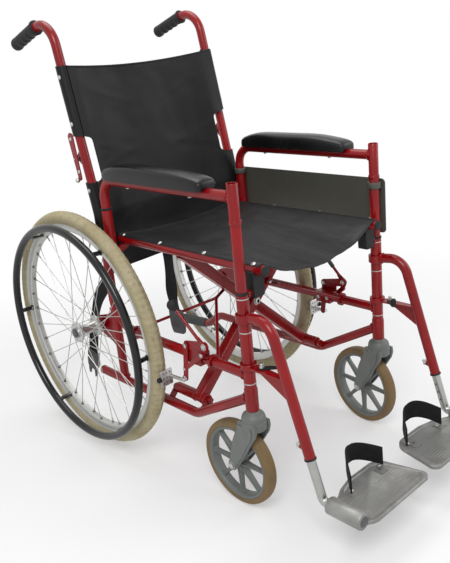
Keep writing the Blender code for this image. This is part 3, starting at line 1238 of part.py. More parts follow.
def back_sling_loop(z, wrap):
    """One level of the back sling in plan: round the left post, across and round the right."""
    post = back_y(z)
    turns = [radians(195) - SLEEVE_STEP * k for k in range(7)]
    points = [(FRAME_X + wrap * cos(t), post + wrap * sin(t)) for t in turns]
    across = 8
    high = max(0.0, min(1.0, (z - BACK_SLING_BASE) / (BACK_SLING_TOP - BACK_SLING_BASE)))
    sag = 0.012 + 0.020 * sin(pi * high)
    sleeve = list(points)
    for k in range(1, across):
        u = 1 - 2 * k / across
        ripple = 0.003 * sin(4 * pi * u + 9 * z) * (1 - u ** 4)
        points.append((u * (FRAME_X - wrap * 0.5), post - wrap + sag * (1 - u ** 2) + ripple))
    points += [(-x, y) for x, y in reversed(sleeve)]
    half = SLING_THICKNESS / 2
    front = []
    rear = []
    count = len(points)
    for i, (x, y) in enumerate(points):
        a = points[max(i - 1, 0)]
        b = points[min(i + 1, count - 1)]
        run = Vector((b[0] - a[0], b[1] - a[1])).normalized()
        side = Vector((-run.y, run.x)) * half
        front.append(Vector((x + side.x, y + side.y, z)))
        rear.append(Vector((x - side.x, y - side.y, z)))
    return front + list(reversed(rear))


def webbing_strap(name, route):
    """A strap of flat webbing along a route of points, with a moulded buckle half at its end."""
    rings = []
    for i, point in enumerate(route):
        x, y, z = point
        before = route[max(i - 1, 0)]
        after = route[min(i + 1, len(route) - 1)]
        run = Vector((0, after[1] - before[1], after[2] - before[2])).normalized()
        half = Vector((0, -run.z, run.y)) * STRAP_WIDTH / 2
        here = Vector(point)
        inward = Vector((-WEBBING, 0, 0))
        rings.append([here - half, here + half, here + half + inward, here - half + inward])
    x, y, z = route[-1]
    run = (Vector(route[-1]) - Vector(route[-2])).normalized()
    outline = [(-0.010, -0.022), (0.020, -0.024), (0.048, -0.020), (0.050, 0.020),
               (0.020, 0.024), (-0.010, 0.022)]
    buckle = slab([(y + run.y * a - run.z * b, z + run.z * a + run.y * b) for a, b in outline],
                  x - 0.007, x + 0.004)
    return solid(name, [from_rings(rings), buckle], "black_rubber", RIGHT,
                 origin=(route[0][0], route[0][1], SEAT_RAIL_Z))


def belt_on_rail():
    """Lap belt half that hangs from the right seat rail's inner side."""
    x = SEAT_RAIL_X - TUBE_RADIUS - GAP
    y = HUB_Y - BELT_RAIL_FORWARD
    top = SEAT_RAIL_Z
    return webbing_strap("belt_on_rail", [
        (x, y, top + 0.002), (x, y, top - 0.014), (x - 0.004, y + 0.005, top - BELT_DROP * 0.47),
        (x - 0.003, y + 0.006, top - BELT_DROP * 0.74), (x - 0.005, y + 0.002, top - BELT_DROP)])


def belt_on_post():
    """Lap belt half screwed to the right back post, trailing down behind the axle."""
    x = FRAME_X - TUBE_RADIUS - GAP
    return webbing_strap("belt_on_post", [
        (x, BACK_Y, REAR_SOCKET_BASE + 0.018), (x, BACK_Y + 0.005, REAR_SOCKET_BASE - 0.019),
        (x - 0.004, HUB_Y - 0.035, WHEEL_RADIUS + 0.115),
        (x - 0.008, HUB_Y + 0.025, WHEEL_RADIUS + 0.055),
        (x - 0.010, HUB_Y + 0.070, WHEEL_RADIUS - 0.030),
        (x - 0.010, HUB_Y + 0.098, WHEEL_RADIUS - 0.120)])


BUILDERS = [side_frame, seat_saddle, rear_axle, rear_wheel, rear_tyre, pushrim, caster_fork,
            caster_axle, caster_wheel, caster_tyre, brake_bracket, brake_lever, brake_shoe,
            brake_link, footrest_hanger, hanger_latch, footrest_post, footplate, heel_loop,
            armrest_frame, arm_pad, back_cane, push_grip, back_latch, stay_link]

for side in (RIGHT, LEFT):
    for build in BUILDERS:
        build(side)
cross_tube("cross_tube_front", CROSS_FRONT_Y, RIGHT)
cross_tube("cross_tube_rear", CROSS_REAR_Y, LEFT)
cross_bolt()
seat_sling()
back_sling()
skirt_guard()
tipping_sleeve()
belt_on_rail()
belt_on_post()
print(len(bpy.data.objects), "pieces,", sum(
    sum(len(face.vertices) - 2 for face in thing.data.polygons) for thing in bpy.data.objects),
    "triangles")
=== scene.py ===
# %% [markdown]
# # A folding wheelchair, built piece by piece
#
# This lesson builds the looks of a red steel wheelchair. Its frame, joints and sizes come from a
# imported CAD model, which loads first and never moves. Every visible piece is then made over it:
# drawn tubes, laced wheels, sewn vinyl, webbing and cast metal.
#
# The numbers are metres. +X is the occupant's left, -Y is forward and +Z is up.

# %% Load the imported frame
import json
import bpy
import bmesh
from math import pi, sin, cos, tan, atan, atan2, sqrt, radians, hypot
from mathutils import Matrix, Vector, noise


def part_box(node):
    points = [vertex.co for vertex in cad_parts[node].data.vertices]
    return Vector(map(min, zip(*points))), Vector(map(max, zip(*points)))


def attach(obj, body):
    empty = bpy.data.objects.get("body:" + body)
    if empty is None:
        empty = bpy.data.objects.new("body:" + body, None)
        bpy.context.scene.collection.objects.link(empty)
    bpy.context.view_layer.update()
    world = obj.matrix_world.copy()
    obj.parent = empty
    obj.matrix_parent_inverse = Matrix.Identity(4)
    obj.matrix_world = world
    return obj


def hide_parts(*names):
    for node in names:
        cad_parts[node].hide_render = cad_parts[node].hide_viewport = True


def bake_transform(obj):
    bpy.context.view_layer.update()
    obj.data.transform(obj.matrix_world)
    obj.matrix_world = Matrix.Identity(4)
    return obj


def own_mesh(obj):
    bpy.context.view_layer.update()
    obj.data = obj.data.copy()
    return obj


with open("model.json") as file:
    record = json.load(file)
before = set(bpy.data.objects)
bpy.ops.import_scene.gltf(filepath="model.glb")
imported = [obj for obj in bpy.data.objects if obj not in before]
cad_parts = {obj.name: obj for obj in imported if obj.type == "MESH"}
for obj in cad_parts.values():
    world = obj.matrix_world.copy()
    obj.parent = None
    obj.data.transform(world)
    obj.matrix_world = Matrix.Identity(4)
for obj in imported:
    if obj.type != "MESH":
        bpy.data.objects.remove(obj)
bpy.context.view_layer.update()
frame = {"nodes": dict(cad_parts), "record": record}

# %% [markdown]
# ## Sizes
#
# The visible pieces repeat the sizes of the CAD model. The hub's place is read from the loaded
# tyre, so the whole chair would follow if the model moved along the floor.

# %% The chair's sizes
tyre_low, tyre_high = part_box("rear_tyre_left")
WHEEL_RADIUS = (tyre_high[2] - tyre_low[2]) / 2
HUB_Y = (tyre_high[1] + tyre_low[1]) / 2
WHEEL_X = 0.2575
FRAME_X = 0.218
TUBE = 0.0111
POST = 0.0127
POST_Y = HUB_Y - 0.545
BACK_Y = HUB_Y - 0.081
BACK_BEND_Z, BACK_LEAN, BACK_JOINT_Z = 0.604, 0.19, 0.7325
ARM_REAR_Y = HUB_Y - 0.111
MID_RAIL_Z, LOWER_RAIL_Z = 0.321, 0.1705
SEAT_RAIL_X, SEAT_RAIL_Z = 0.1818, 0.538
SEAT_RAIL_FRONT, SEAT_RAIL_REAR = HUB_Y - 0.577, HUB_Y - 0.100
CROSS_FRONT_Y = HUB_Y - 0.345
CROSS_REAR_Y = CROSS_FRONT_Y + 0.0274
CROSS_PIVOT_X, CROSS_PIVOT_Z = 0.192, 0.196
HANGER_X = 0.2215
ARM_RAIL_Z = 0.688
SIDES = {-1: "right", 1: "left"}
print("hub at y", round(HUB_Y, 4), "with a wheel radius of", round(WHEEL_RADIUS, 4))

# %% [markdown]
# ## The camera
#
# A camera was fitted to the photograph from the ellipses of the wheels and the ends of the tubes.
# It stands ahead of the chair on its right, a little above the seat, and leans by six degrees. It
# comes before everything else, because each piece is judged through it.

# %% Place the camera
azimuth, elevation, roll = radians(-41.2839), radians(18.9456), radians(-5.815)
back = Vector((sin(azimuth) * cos(elevation), -cos(azimuth) * cos(elevation), sin(elevation)))
level = Vector((0, 0, 1)).cross(back).normalized()
above = back.cross(level)
right = level * cos(roll) + above * sin(roll)
up = above * cos(roll) - level * sin(roll)

camera = bpy.data.objects.new("camera", bpy.data.cameras.new("camera"))
bpy.context.scene.collection.objects.link(camera)
camera.matrix_world = Matrix((
    (right.x, up.x, back.x, -1.0964), (right.y, up.y, back.y, HUB_Y - 1.5),
    (right.z, up.z, back.z, 0.9703), (0, 0, 0, 1)))
camera.data.lens = 45.6
camera.data.sensor_width = 36
camera.data.clip_end = 50
bpy.context.scene.camera = camera
print("camera at", [round(v, 3) for v in camera.location])

# %% [markdown]
# ## Shader arithmetic
#
# Materials are grown from formulas. `Value` wraps one output of a node, so that `a * 0.5 + b`
# adds Math nodes by itself. Colours and vectors go through Mix and Vector Math nodes. Every other
# node is made by `Graph.node`, which takes its type, its settings, and then its inputs.

# %% A small class for shader arithmetic
class Value:
    """One output socket, with arithmetic that adds nodes to its graph."""

    def __init__(self, graph, socket):
        self.graph = graph
        self.socket = socket

    def join(self, operation, other, swapped=False):
        first, second = (other, self) if swapped else (self, other)
        return self.graph.combine(operation, first, second)

    def __add__(self, other):
        return self.join("ADD", other)

    def __radd__(self, other):
        return self.join("ADD", other, True)

    def __sub__(self, other):
        return self.join("SUBTRACT", other)

    def __rsub__(self, other):
        return self.join("SUBTRACT", other, True)

    def __mul__(self, other):
        return self.join("MULTIPLY", other)

    def __rmul__(self, other):
        return self.join("MULTIPLY", other, True)

    def __truediv__(self, other):
        return self.join("DIVIDE", other)

    def __rtruediv__(self, other):
        return self.join("DIVIDE", other, True)


class Graph:
    """The node tree of one material, or of the world."""

    def __init__(self, name, world=None):
        self.material = world or bpy.data.materials.new(name)
        self.material.use_nodes = True
        self.tree = self.material.node_tree
        if world is None:
            self.shader = self.tree.nodes["Principled BSDF"]
            self.place = self.node("ShaderNodeTexCoord", {}, {}, "Object")

    def node(self, kind, settings, inputs, output=0):
        made = self.tree.nodes.new(kind)
        for name, value in settings.items():
            setattr(made, name, value)
        for name, value in inputs.items():
            self.feed(made.inputs[name], value)
        return Value(self, made.outputs[output])

    def feed(self, socket, value):
        if isinstance(value, Value):
            self.tree.links.new(value.socket, socket)
        else:
            socket.default_value = value

    def combine(self, operation, first, second):
        kinds = [v.socket.type for v in (first, second) if isinstance(v, Value)]
        if kinds == ["VALUE"] * len(kinds):
            return self.node("ShaderNodeMath", {"operation": operation}, {0: first, 1: second})
        spread = [v if isinstance(v, (Value, tuple)) else (v, v, v) for v in (first, second)]
        return self.node("ShaderNodeVectorMath", {"operation": operation},
                         {0: spread[0], 1: spread[1]})

    def noise(self, scale, detail=3.0, roughness=0.5, vector=None):
        return self.node("ShaderNodeTexNoise", {}, {
            "Vector": vector or self.place, "Scale": scale, "Detail": detail,
            "Roughness": roughness})

    def step(self, value, low, high):
        """0 below low, 1 above high, smooth between them."""
        return self.node("ShaderNodeMapRange", {"interpolation_type": "SMOOTHSTEP"}, {
            "Value": value, "From Min": low, "From Max": high})

    def mix(self, factor, first, second):
        """A colour between two others."""
        def colour(c):
            return c if isinstance(c, Value) else (*c, 1.0)
        return self.node("ShaderNodeMix", {"data_type": "RGBA"},
                         {0: factor, 6: colour(first), 7: colour(second)}, 2)

    def bump(self, height, depth):
        """Depth is in metres."""
        return self.node("ShaderNodeBump", {}, {
            "Strength": 1.0, "Distance": depth, "Height": height})

    def surface(self, **inputs):
        for name, value in inputs.items():
            if isinstance(value, tuple):
                value = (*value, 1.0)
            self.feed(self.shader.inputs[name.replace("_", " ")], value)
        return self.material


print("shader helpers ready")

# %% [markdown]
# ## Painted steel
#
# The frame is stove enamelled in a deep red. Real enamel is never even: it has a faint orange
# peel, hazy patches where hands and dust have dulled it, and a few dark chips. Each of these is one
# noise texture with its own scale, so nothing repeats from tube to tube.

# %% Red enamel, and the metals
MATERIALS = {}


def red_paint():
    g = Graph("enamel")
    haze = g.noise(9.0, 4.0)
    shade = g.mix(g.step(haze, 0.35, 0.7), (0.215, 0.002, 0.004), (0.30, 0.004, 0.006))
    chips = g.step(g.noise(150.0, 6.0, 0.65), 0.735, 0.75)
    grime = g.step(g.noise(26.0, 6.0, 0.7), 0.60, 0.80)
    shade = g.mix(grime * 0.35, shade, (0.11, 0.005, 0.007))
    shade = g.mix(chips * 0.8, shade, (0.05, 0.02, 0.018))
    peel = g.noise(420.0, 2.0)
    return g.surface(Base_Color=shade, Roughness=haze * 0.16 + 0.14 + grime * 0.15,
                     Specular_IOR_Level=0.36, Normal=g.bump(peel - chips * 0.8, 0.00008))


def plated(name, bright, dull, rough, scale=60.0):
    """Zinc or chrome: fine drawn scratches along the piece and cloudy patches."""
    g = Graph(name)
    clouds = g.noise(scale, 5.0, 0.6)
    stretched = g.place * (30.0, 400.0, 400.0)
    lines = g.noise(1.0, 3.0, 0.6, stretched)
    spots = g.step(g.noise(240.0, 4.0), 0.64, 0.74)
    shade = g.mix(clouds, dull, bright)
    shade = g.mix(spots * 0.5, shade, (0.16, 0.14, 0.12))
    return g.surface(Base_Color=shade, Metallic=1.0 - spots * 0.4,
                     Roughness=rough + clouds * 0.15 + lines * 0.08,
                     Normal=g.bump(lines, 0.00003))


def cast_metal():
    """Sand-cast aluminium: a grainy skin, worn bright where shoes have rubbed it."""
    g = Graph("casting")
    worn = g.step(g.noise(14.0, 5.0, 0.6), 0.42, 0.66)
    pits = g.noise(520.0, 3.0, 0.6)
    shade = g.mix(worn, (0.235, 0.235, 0.225), (0.32, 0.32, 0.305))
    stains = g.step(g.noise(38.0, 6.0, 0.7), 0.58, 0.72)
    shade = g.mix(stains * 0.22, shade, (0.14, 0.135, 0.12))
    return g.surface(Base_Color=shade, Metallic=0.6, Roughness=0.50 - worn * 0.10,
                     Normal=g.bump(pits, 0.00025))


MATERIALS["red_paint"] = red_paint()
MATERIALS["zinc"] = plated("zinc", (0.62, 0.62, 0.60), (0.40, 0.40, 0.39), 0.26)
MATERIALS["chrome"] = plated("chrome", (0.50, 0.51, 0.49), (0.30, 0.31, 0.29), 0.22, 25.0)
MATERIALS["rim_metal"] = plated("rim_metal", (0.60, 0.60, 0.58), (0.46, 0.46, 0.44), 0.38, 18.0)
MATERIALS["cast_aluminium"] = cast_metal()
print(len(MATERIALS), "metals")

# %% [markdown]
# ## Vinyl, rubber, webbing and plastic
#
# Vinyl-coated cloth has a pebble grain pressed into it, made here with Voronoi cells a millimetre
# across. Webbing is a herringbone of two waves. Rubber is matte, with dust in its hollows.

# %% Soft and moulded finishes
def vinyl(name, dark, dusty, rough, shine):
    g = Graph(name)
    cells = g.node("ShaderNodeTexVoronoi", {"feature": "F1"}, {
        "Vector": g.place, "Scale": 720.0, "Randomness": 0.9})
    creases = g.noise(55.0, 5.0, 0.6)
    dust = g.step(g.noise(7.0, 6.0, 0.65), 0.42, 0.72)
    shade = g.mix(dust, dark, dusty)
    shade = g.mix(g.step(cells, 0.0, 0.55) * 0.35, shade, (0.006, 0.006, 0.0065))
    return g.surface(Base_Color=shade, Roughness=rough + dust * 0.16, Specular_IOR_Level=shine,
                     Normal=g.bump(cells * -0.6 + creases * 1.6, 0.00022))


def rubber(name, colour, dusty, rough=0.62, depth=0.0001):
    g = Graph(name)
    dust = g.step(g.noise(22.0, 6.0, 0.65), 0.45, 0.75)
    fine = g.noise(900.0, 2.0)
    shade = g.mix(dust, colour, dusty)
    return g.surface(Base_Color=shade, Roughness=rough + dust * 0.14 - fine * 0.05,
                     Specular_IOR_Level=0.25,
                     Normal=g.bump(fine, depth))


def cream_rubber():
    """Natural grey-cream tyre rubber, browned by use and dark in its pores."""
    g = Graph("cream_rubber")
    age = g.noise(11.0, 5.0, 0.6)
    shade = g.mix(g.step(age, 0.35, 0.68), (0.36, 0.305, 0.175), (0.455, 0.40, 0.25))
    dirt = g.step(g.noise(95.0, 6.0, 0.75), 0.50, 0.68)
    shade = g.mix(dirt * 0.5, shade, (0.165, 0.135, 0.078))
    fine = g.noise(650.0, 3.0, 0.6)
    return g.surface(Base_Color=shade, Roughness=0.66 + dirt * 0.16,
                     Normal=g.bump(fine - dirt * 0.5, 0.00016))


def moulded(name, dark, light):
    """Glass-filled nylon: an even satin skin with faint flow marks."""
    g = Graph(name)
    flow = g.noise(1.0, 4.0, 0.55, g.place * (18.0, 60.0, 24.0))
    fine = g.noise(700.0, 2.0)
    shade = g.mix(flow, dark, light)
    scuffs = g.step(g.noise(75.0, 6.0, 0.7), 0.62, 0.74)
    shade = g.mix(scuffs * 0.35, shade, (0.08, 0.075, 0.07))
    return g.surface(Base_Color=shade, Roughness=0.42 + fine * 0.12 + scuffs * 0.15,
                     Normal=g.bump(fine, 0.00006))


def webbing():
    """Woven polyester strap: ribs across it, with a diagonal twill running over them."""
    g = Graph("webbing")
    ribs = g.node("ShaderNodeTexWave", {"bands_direction": "Z"}, {
        "Vector": g.place, "Scale": 260.0, "Distortion": 0.6})
    twill = g.node("ShaderNodeTexWave", {"bands_direction": "DIAGONAL"}, {
        "Vector": g.place, "Scale": 190.0, "Distortion": 0.4})
    weave = ribs * twill
    fuzz = g.noise(60.0, 5.0, 0.7)
    shade = g.mix(weave, (0.006, 0.006, 0.0065), (0.016, 0.016, 0.017))
    shade = g.mix(g.step(fuzz, 0.5, 0.75) * 0.25, shade, (0.045, 0.044, 0.042))
    return g.surface(Base_Color=shade, Roughness=0.78 - weave * 0.14, Specular_IOR_Level=0.2,
                     Normal=g.bump(weave, 0.0003))


def glossy_black():
    """Powder-coated push ring: glossy where hands have polished it."""
    g = Graph("glossy_black")
    rub = g.step(g.noise(16.0, 5.0, 0.6), 0.40, 0.65)
    fine = g.noise(500.0, 2.0)
    return g.surface(Base_Color=g.mix(rub, (0.004, 0.004, 0.0045), (0.007, 0.007, 0.0075)),
                     Roughness=0.24 - rub * 0.12, Specular_IOR_Level=0.4,
                     Normal=g.bump(fine, 0.00005))


for use, name, dark, dusty, rough, shine in (
        ("black_vinyl", "back_vinyl", (0.0085, 0.0085, 0.009), (0.016, 0.016, 0.017), 0.40, 0.20),
        ("seat_vinyl", "seat_vinyl", (0.019, 0.019, 0.020), (0.031, 0.031, 0.033), 0.40, 0.24),
        ("pad_vinyl", "pad_vinyl", (0.0050, 0.0050, 0.0055), (0.0090, 0.0090, 0.0095), 0.20, 0.30)):
    MATERIALS[use] = vinyl(name, dark, dusty, rough, shine)
MATERIALS["black_rubber"] = rubber("black_rubber", (0.014, 0.014, 0.015), (0.034, 0.033, 0.032))
MATERIALS["sleeve_rubber"] = rubber("grey_rubber", (0.075, 0.075, 0.078), (0.12, 0.12, 0.118))
MATERIALS["cream_tyre"] = cream_rubber()
MATERIALS["tan_tyre"] = rubber("tan_rubber", (0.200, 0.130, 0.058), (0.125, 0.100, 0.060), 0.55)
MATERIALS["grey_plastic"] = moulded("grey_plastic", (0.118, 0.130, 0.120), (0.165, 0.176, 0.166))
MATERIALS["guard_board"] = moulded("guard_board", (0.062, 0.062, 0.050), (0.078, 0.077, 0.064))
MATERIALS["webbing"] = webbing()
MATERIALS["glossy_black"] = glossy_black()
MATERIALS["dark_grey"] = moulded("dark_grey", (0.055, 0.057, 0.060), (0.085, 0.087, 0.09))
print(len(MATERIALS), "finishes in all")

# %% [markdown]
# ## Meshes by formula
#
# Three ways of making a shape cover nearly the whole chair. `sweep` pulls a round section along a
# path, as a tube bender does. `turned` spins a profile round an axis, as a lathe does. `slab`
# presses a flat outline, as a punch does. Ends are rounded over so that light catches them.

# %% Sweeping, turning and pressing
def skin(rings, closed=False, caps=True):
    mesh = bmesh.new()
    rows = [[mesh.verts.new(point) for point in ring] for ring in rings]
    count = len(rows[0])
    pairs = list(zip(rows, rows[1:])) + ([(rows[-1], rows[0])] if closed else [])
    for low, high in pairs:
        for i in range(count):
            j = (i + 1) % count
            mesh.faces.new((low[i], low[j], high[j], high[i]))
    if caps and not closed:
        mesh.faces.new(list(reversed(rows[0])))
        mesh.faces.new(rows[-1])
    bmesh.ops.recalc_face_normals(mesh, faces=mesh.faces)
    return mesh


def rounded_path(corners, radii, steps=10):
    """Straight runs with an arc of the given radius at each inner corner."""
    corners = [Vector(c) for c in corners]
    path = [corners[0]]
    for before, here, after, radius in zip(corners, corners[1:], corners[2:], radii):
        into, out = (here - before).normalized(), (after - here).normalized()
        turn = into.angle(out)
        reach = radius * tan(turn / 2)
        axis = into.cross(out).normalized()
        centre = here - into * reach + axis.cross(into) * radius
        start = (here - into * reach) - centre
        path += [centre + Matrix.Rotation(turn * k / steps, 3, axis) @ start
                 for k in range(steps + 1)]
    return path + [corners[-1]]


def sweep(path, radius, sides=28, closed=False):
    """A round bar along a path, with one radius or one for each point."""
    path = [Vector(p) for p in path]
    count = len(path)
    radii = radius if isinstance(radius, (list, tuple)) else [radius] * count
    rings, side = [], None
    for i, (point, size) in enumerate(zip(path, radii)):
        before = path[i - 1] if i or closed else point
        after = path[(i + 1) % count] if i < count - 1 or closed else point
        along = (after - before).normalized()
        if side is None:
            side = Vector((1, 0, 0)) if abs(along.x) < 0.9 else Vector((0, 1, 0))
        side = (side - along * side.dot(along)).normalized()
        other = along.cross(side)
        rings.append([point + side * (size * cos(t)) + other * (size * sin(t))
                      for t in (2 * pi * k / sides for k in range(sides))])
    return skin(rings, closed)


def rod(start, end, radius, sides=28, edge=0.0006):
    """A straight bar with softened ends."""
    start, end = Vector(start), Vector(end)
    run = (end - start).normalized() * edge
    return sweep([start, start + run, end - run, end],
                 [radius - edge, radius, radius, radius - edge], sides)


def turned(profile, centre, axis="X", steps=64, closed=True):
    """Spin (radius, place along the axis) points. A closed profile makes a ring."""
    first, second, along = {
        "X": (Vector((0, 1, 0)), Vector((0, 0, 1)), Vector((1, 0, 0))),
        "Y": (Vector((0, 0, 1)), Vector((1, 0, 0)), Vector((0, 1, 0))),
        "Z": (Vector((1, 0, 0)), Vector((0, 1, 0)), Vector((0, 0, 1)))}[axis]
    centre = Vector(centre)
    turns = [2 * pi * k / steps for k in range(steps)]
    if closed:
        return skin([[centre + (first * cos(t) + second * sin(t)) * r + along * a
                      for r, a in profile] for t in turns], closed=True)
    return skin([[centre + (first * cos(t) + second * sin(t)) * r + along * a
                  for t in turns] for r, a in profile])


def slab(outline, low, high, plane="YZ", edge=0.0005):
    """Press an outline, with its rims taken in a little so that they shine."""
    place = {"YZ": lambda u, v, w: Vector((w, u, v)), "XY": lambda u, v, w: Vector((u, v, w)),
             "XZ": lambda u, v, w: Vector((u, w, v))}[plane]
    cu = sum(p[0] for p in outline) / len(outline)
    cv = sum(p[1] for p in outline) / len(outline)
    size = max(hypot(u - cu, v - cv) for u, v in outline)
    small = [(cu + (u - cu) * (1 - edge / size), cv + (v - cv) * (1 - edge / size))
             for u, v in outline]
    return skin([[place(u, v, w) for u, v in points] for points, w in (
        (small, low), (outline, low + edge), (outline, high - edge), (small, high))])


def arc(centre, radius, start, end, steps):
    turns = [radians(start + (end - start) * k / steps) for k in range(steps + 1)]
    return [(centre[0] + radius * cos(t), centre[1] + radius * sin(t)) for t in turns]


def oblong(left, low, right, high):
    return [(left, low), (right, low), (right, high), (left, high)]


def mirrored(half):
    """A profile from its first half: the same radii, at opposite places along the axis."""
    return half + [(r, -a) for r, a in reversed(half) if a]


def half_turned(half):
    """A section whose second half is the first one turned by 180 degrees."""
    return half + [(-u, -v) for u, v in half]


def bar_outline(start, end, radius_a, radius_b, steps=14):
    """A flat link with round ends."""
    turn = atan2(end[1] - start[1], end[0] - start[0]) * 180 / pi
    return arc(end, radius_b, turn - 90, turn + 90, steps) + \
        arc(start, radius_a, turn + 90, turn + 270, steps)


def ball(centre, radius, steps=24):
    rings = [radians(-86 + 172 * k / 14) for k in range(15)]
    return turned([(radius * cos(t), radius * sin(t)) for t in rings], centre, "Z", steps, False)


def hex_nut(start, end, radius):
    """A nut between two points, with its corners rounded at both ends."""
    start, end = Vector(start), Vector(end)
    run = (end - start) * 0.14
    return sweep([start, start + run, end - run, end],
                 [radius * 0.86, radius, radius, radius * 0.86], 6)


def moved(meshes, matrix):
    """The same meshes after a move or a turn."""
    for mesh in meshes:
        bmesh.ops.transform(mesh, matrix=matrix, verts=mesh.verts)
    return meshes


def aimed(meshes, place, direction):
    """Meshes that were made upright, put at a place and turned to point along a direction."""
    turn = Vector((0, 0, 1)).rotation_difference(direction).to_matrix().to_4x4()
    return moved(meshes, Matrix.Translation(place) @ turn)


print("mesh makers ready")

# %% [markdown]
# ## Putting a piece on the chair
#
# `piece` joins some meshes into one object, mirrors it for the right side, gives it a finish and
# parents it to an empty named after the body that carries it. If it stands for a CAD node, that
# node is hidden. `paired` does the same for one of two like pieces, and adds the side to their
# names.

# %% Make, mirror and mount a piece
def piece(name, meshes, finish, body, side=1, replaces=(), slot=None, smooth=40, turn=None):
    whole = bmesh.new()
    for mesh in meshes:
        held = bpy.data.meshes.new("held")
        mesh.to_mesh(held)
        whole.from_mesh(held)
        mesh.free()
        bpy.data.meshes.remove(held)
    if side < 0:
        bmesh.ops.transform(whole, matrix=Matrix.Diagonal((-1, 1, 1, 1)), verts=whole.verts)
        bmesh.ops.reverse_faces(whole, faces=whole.faces)
    if turn is not None:
        bmesh.ops.transform(whole, matrix=turn, verts=whole.verts)
    data = bpy.data.meshes.new(name)
    whole.to_mesh(data)
    whole.free()
    made = bpy.data.objects.new(name, data)
    bpy.context.scene.collection.objects.link(made)
    data.materials.append(MATERIALS[finish])
    data.shade_smooth()
    data.set_sharp_from_angle(angle=radians(smooth))
    if replaces:
        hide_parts(*replaces)
    known = slot or finish
    known in SLOTS
    if body:
        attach(made, body)
    return made


SLOTS = {row["slot"] for row in frame["record"]["materials"]}


def paired(name, meshes, finish, body, side, node=None, slot=None, **more):
    """One of a right and left pair: the side's name ends those of its piece, body and node."""
    tag = "_" + SIDES[side]
    return piece(name + tag, meshes, finish, body and body + tag, side,
                 [node + tag] if node else (), slot, **more)


def back_y(z):
    return BACK_Y + max(0.0, z - BACK_BEND_Z) * BACK_LEAN


def hanger_y(z):
    return POST_Y - 0.0707 - 0.313 * (0.4545 - z)


print(len(SLOTS), "material slots:", ", ".join(sorted(SLOTS)))

# %% [markdown]
# ## The side frames
#
# Each side is one welded piece. The back post runs down and bends forward into the middle rail, as
# a single drawn tube. A post carries the caster at the front, and a lower rail joins the two. The
# joints get weld beads: uneven little rings, because a hand weld is never a clean line.

# %% Weld the side frames
def weld(centre, along, radius, bead=0.0022):
    """A bead of weld round a tube, with the ripples of a torch that moved by hand."""
    centre, along = Vector(centre), Vector(along).normalized()
    side = along.orthogonal().normalized()
    other = along.cross(side)
    path = []
    for k in range(48):
        t = 2 * pi * k / 48
        r = radius + 0.0007 * sin(11 * t) + 0.0003 * sin(23 * t + 1)
        path.append(centre + side * (r * cos(t)) + other * (r * sin(t)) +
                    along * (0.0008 * sin(5 * t + 2)))
    return sweep(path, [bead * (1 + 0.22 * sin(24 * 2 * pi * k / 48)) for k in range(48)], 10, True)


def axle_plate():
    nose = arc((HUB_Y, WHEEL_RADIUS), 0.0225, 60, -60, 20)
    post = BACK_Y + TUBE * 0.5
    outline = [(post, WHEEL_RADIUS + 0.062), (post + 0.030, WHEEL_RADIUS + 0.036)] + nose + \
        [(post + 0.030, WHEEL_RADIUS - 0.040), (post, WHEEL_RADIUS - 0.062)]
    return slab(outline, 0.2100, 0.2150)


SADDLE_Z = SEAT_RAIL_Z - 0.046
SLEEVE_FRONT, SLEEVE_REAR = HUB_Y - 0.371, HUB_Y - 0.265
TIPPING_START = Vector((FRAME_X, HUB_Y + 0.090, LOWER_RAIL_Z - 0.040))
TIPPING_END = Vector((FRAME_X, HUB_Y + 0.252, LOWER_RAIL_Z - 0.053))


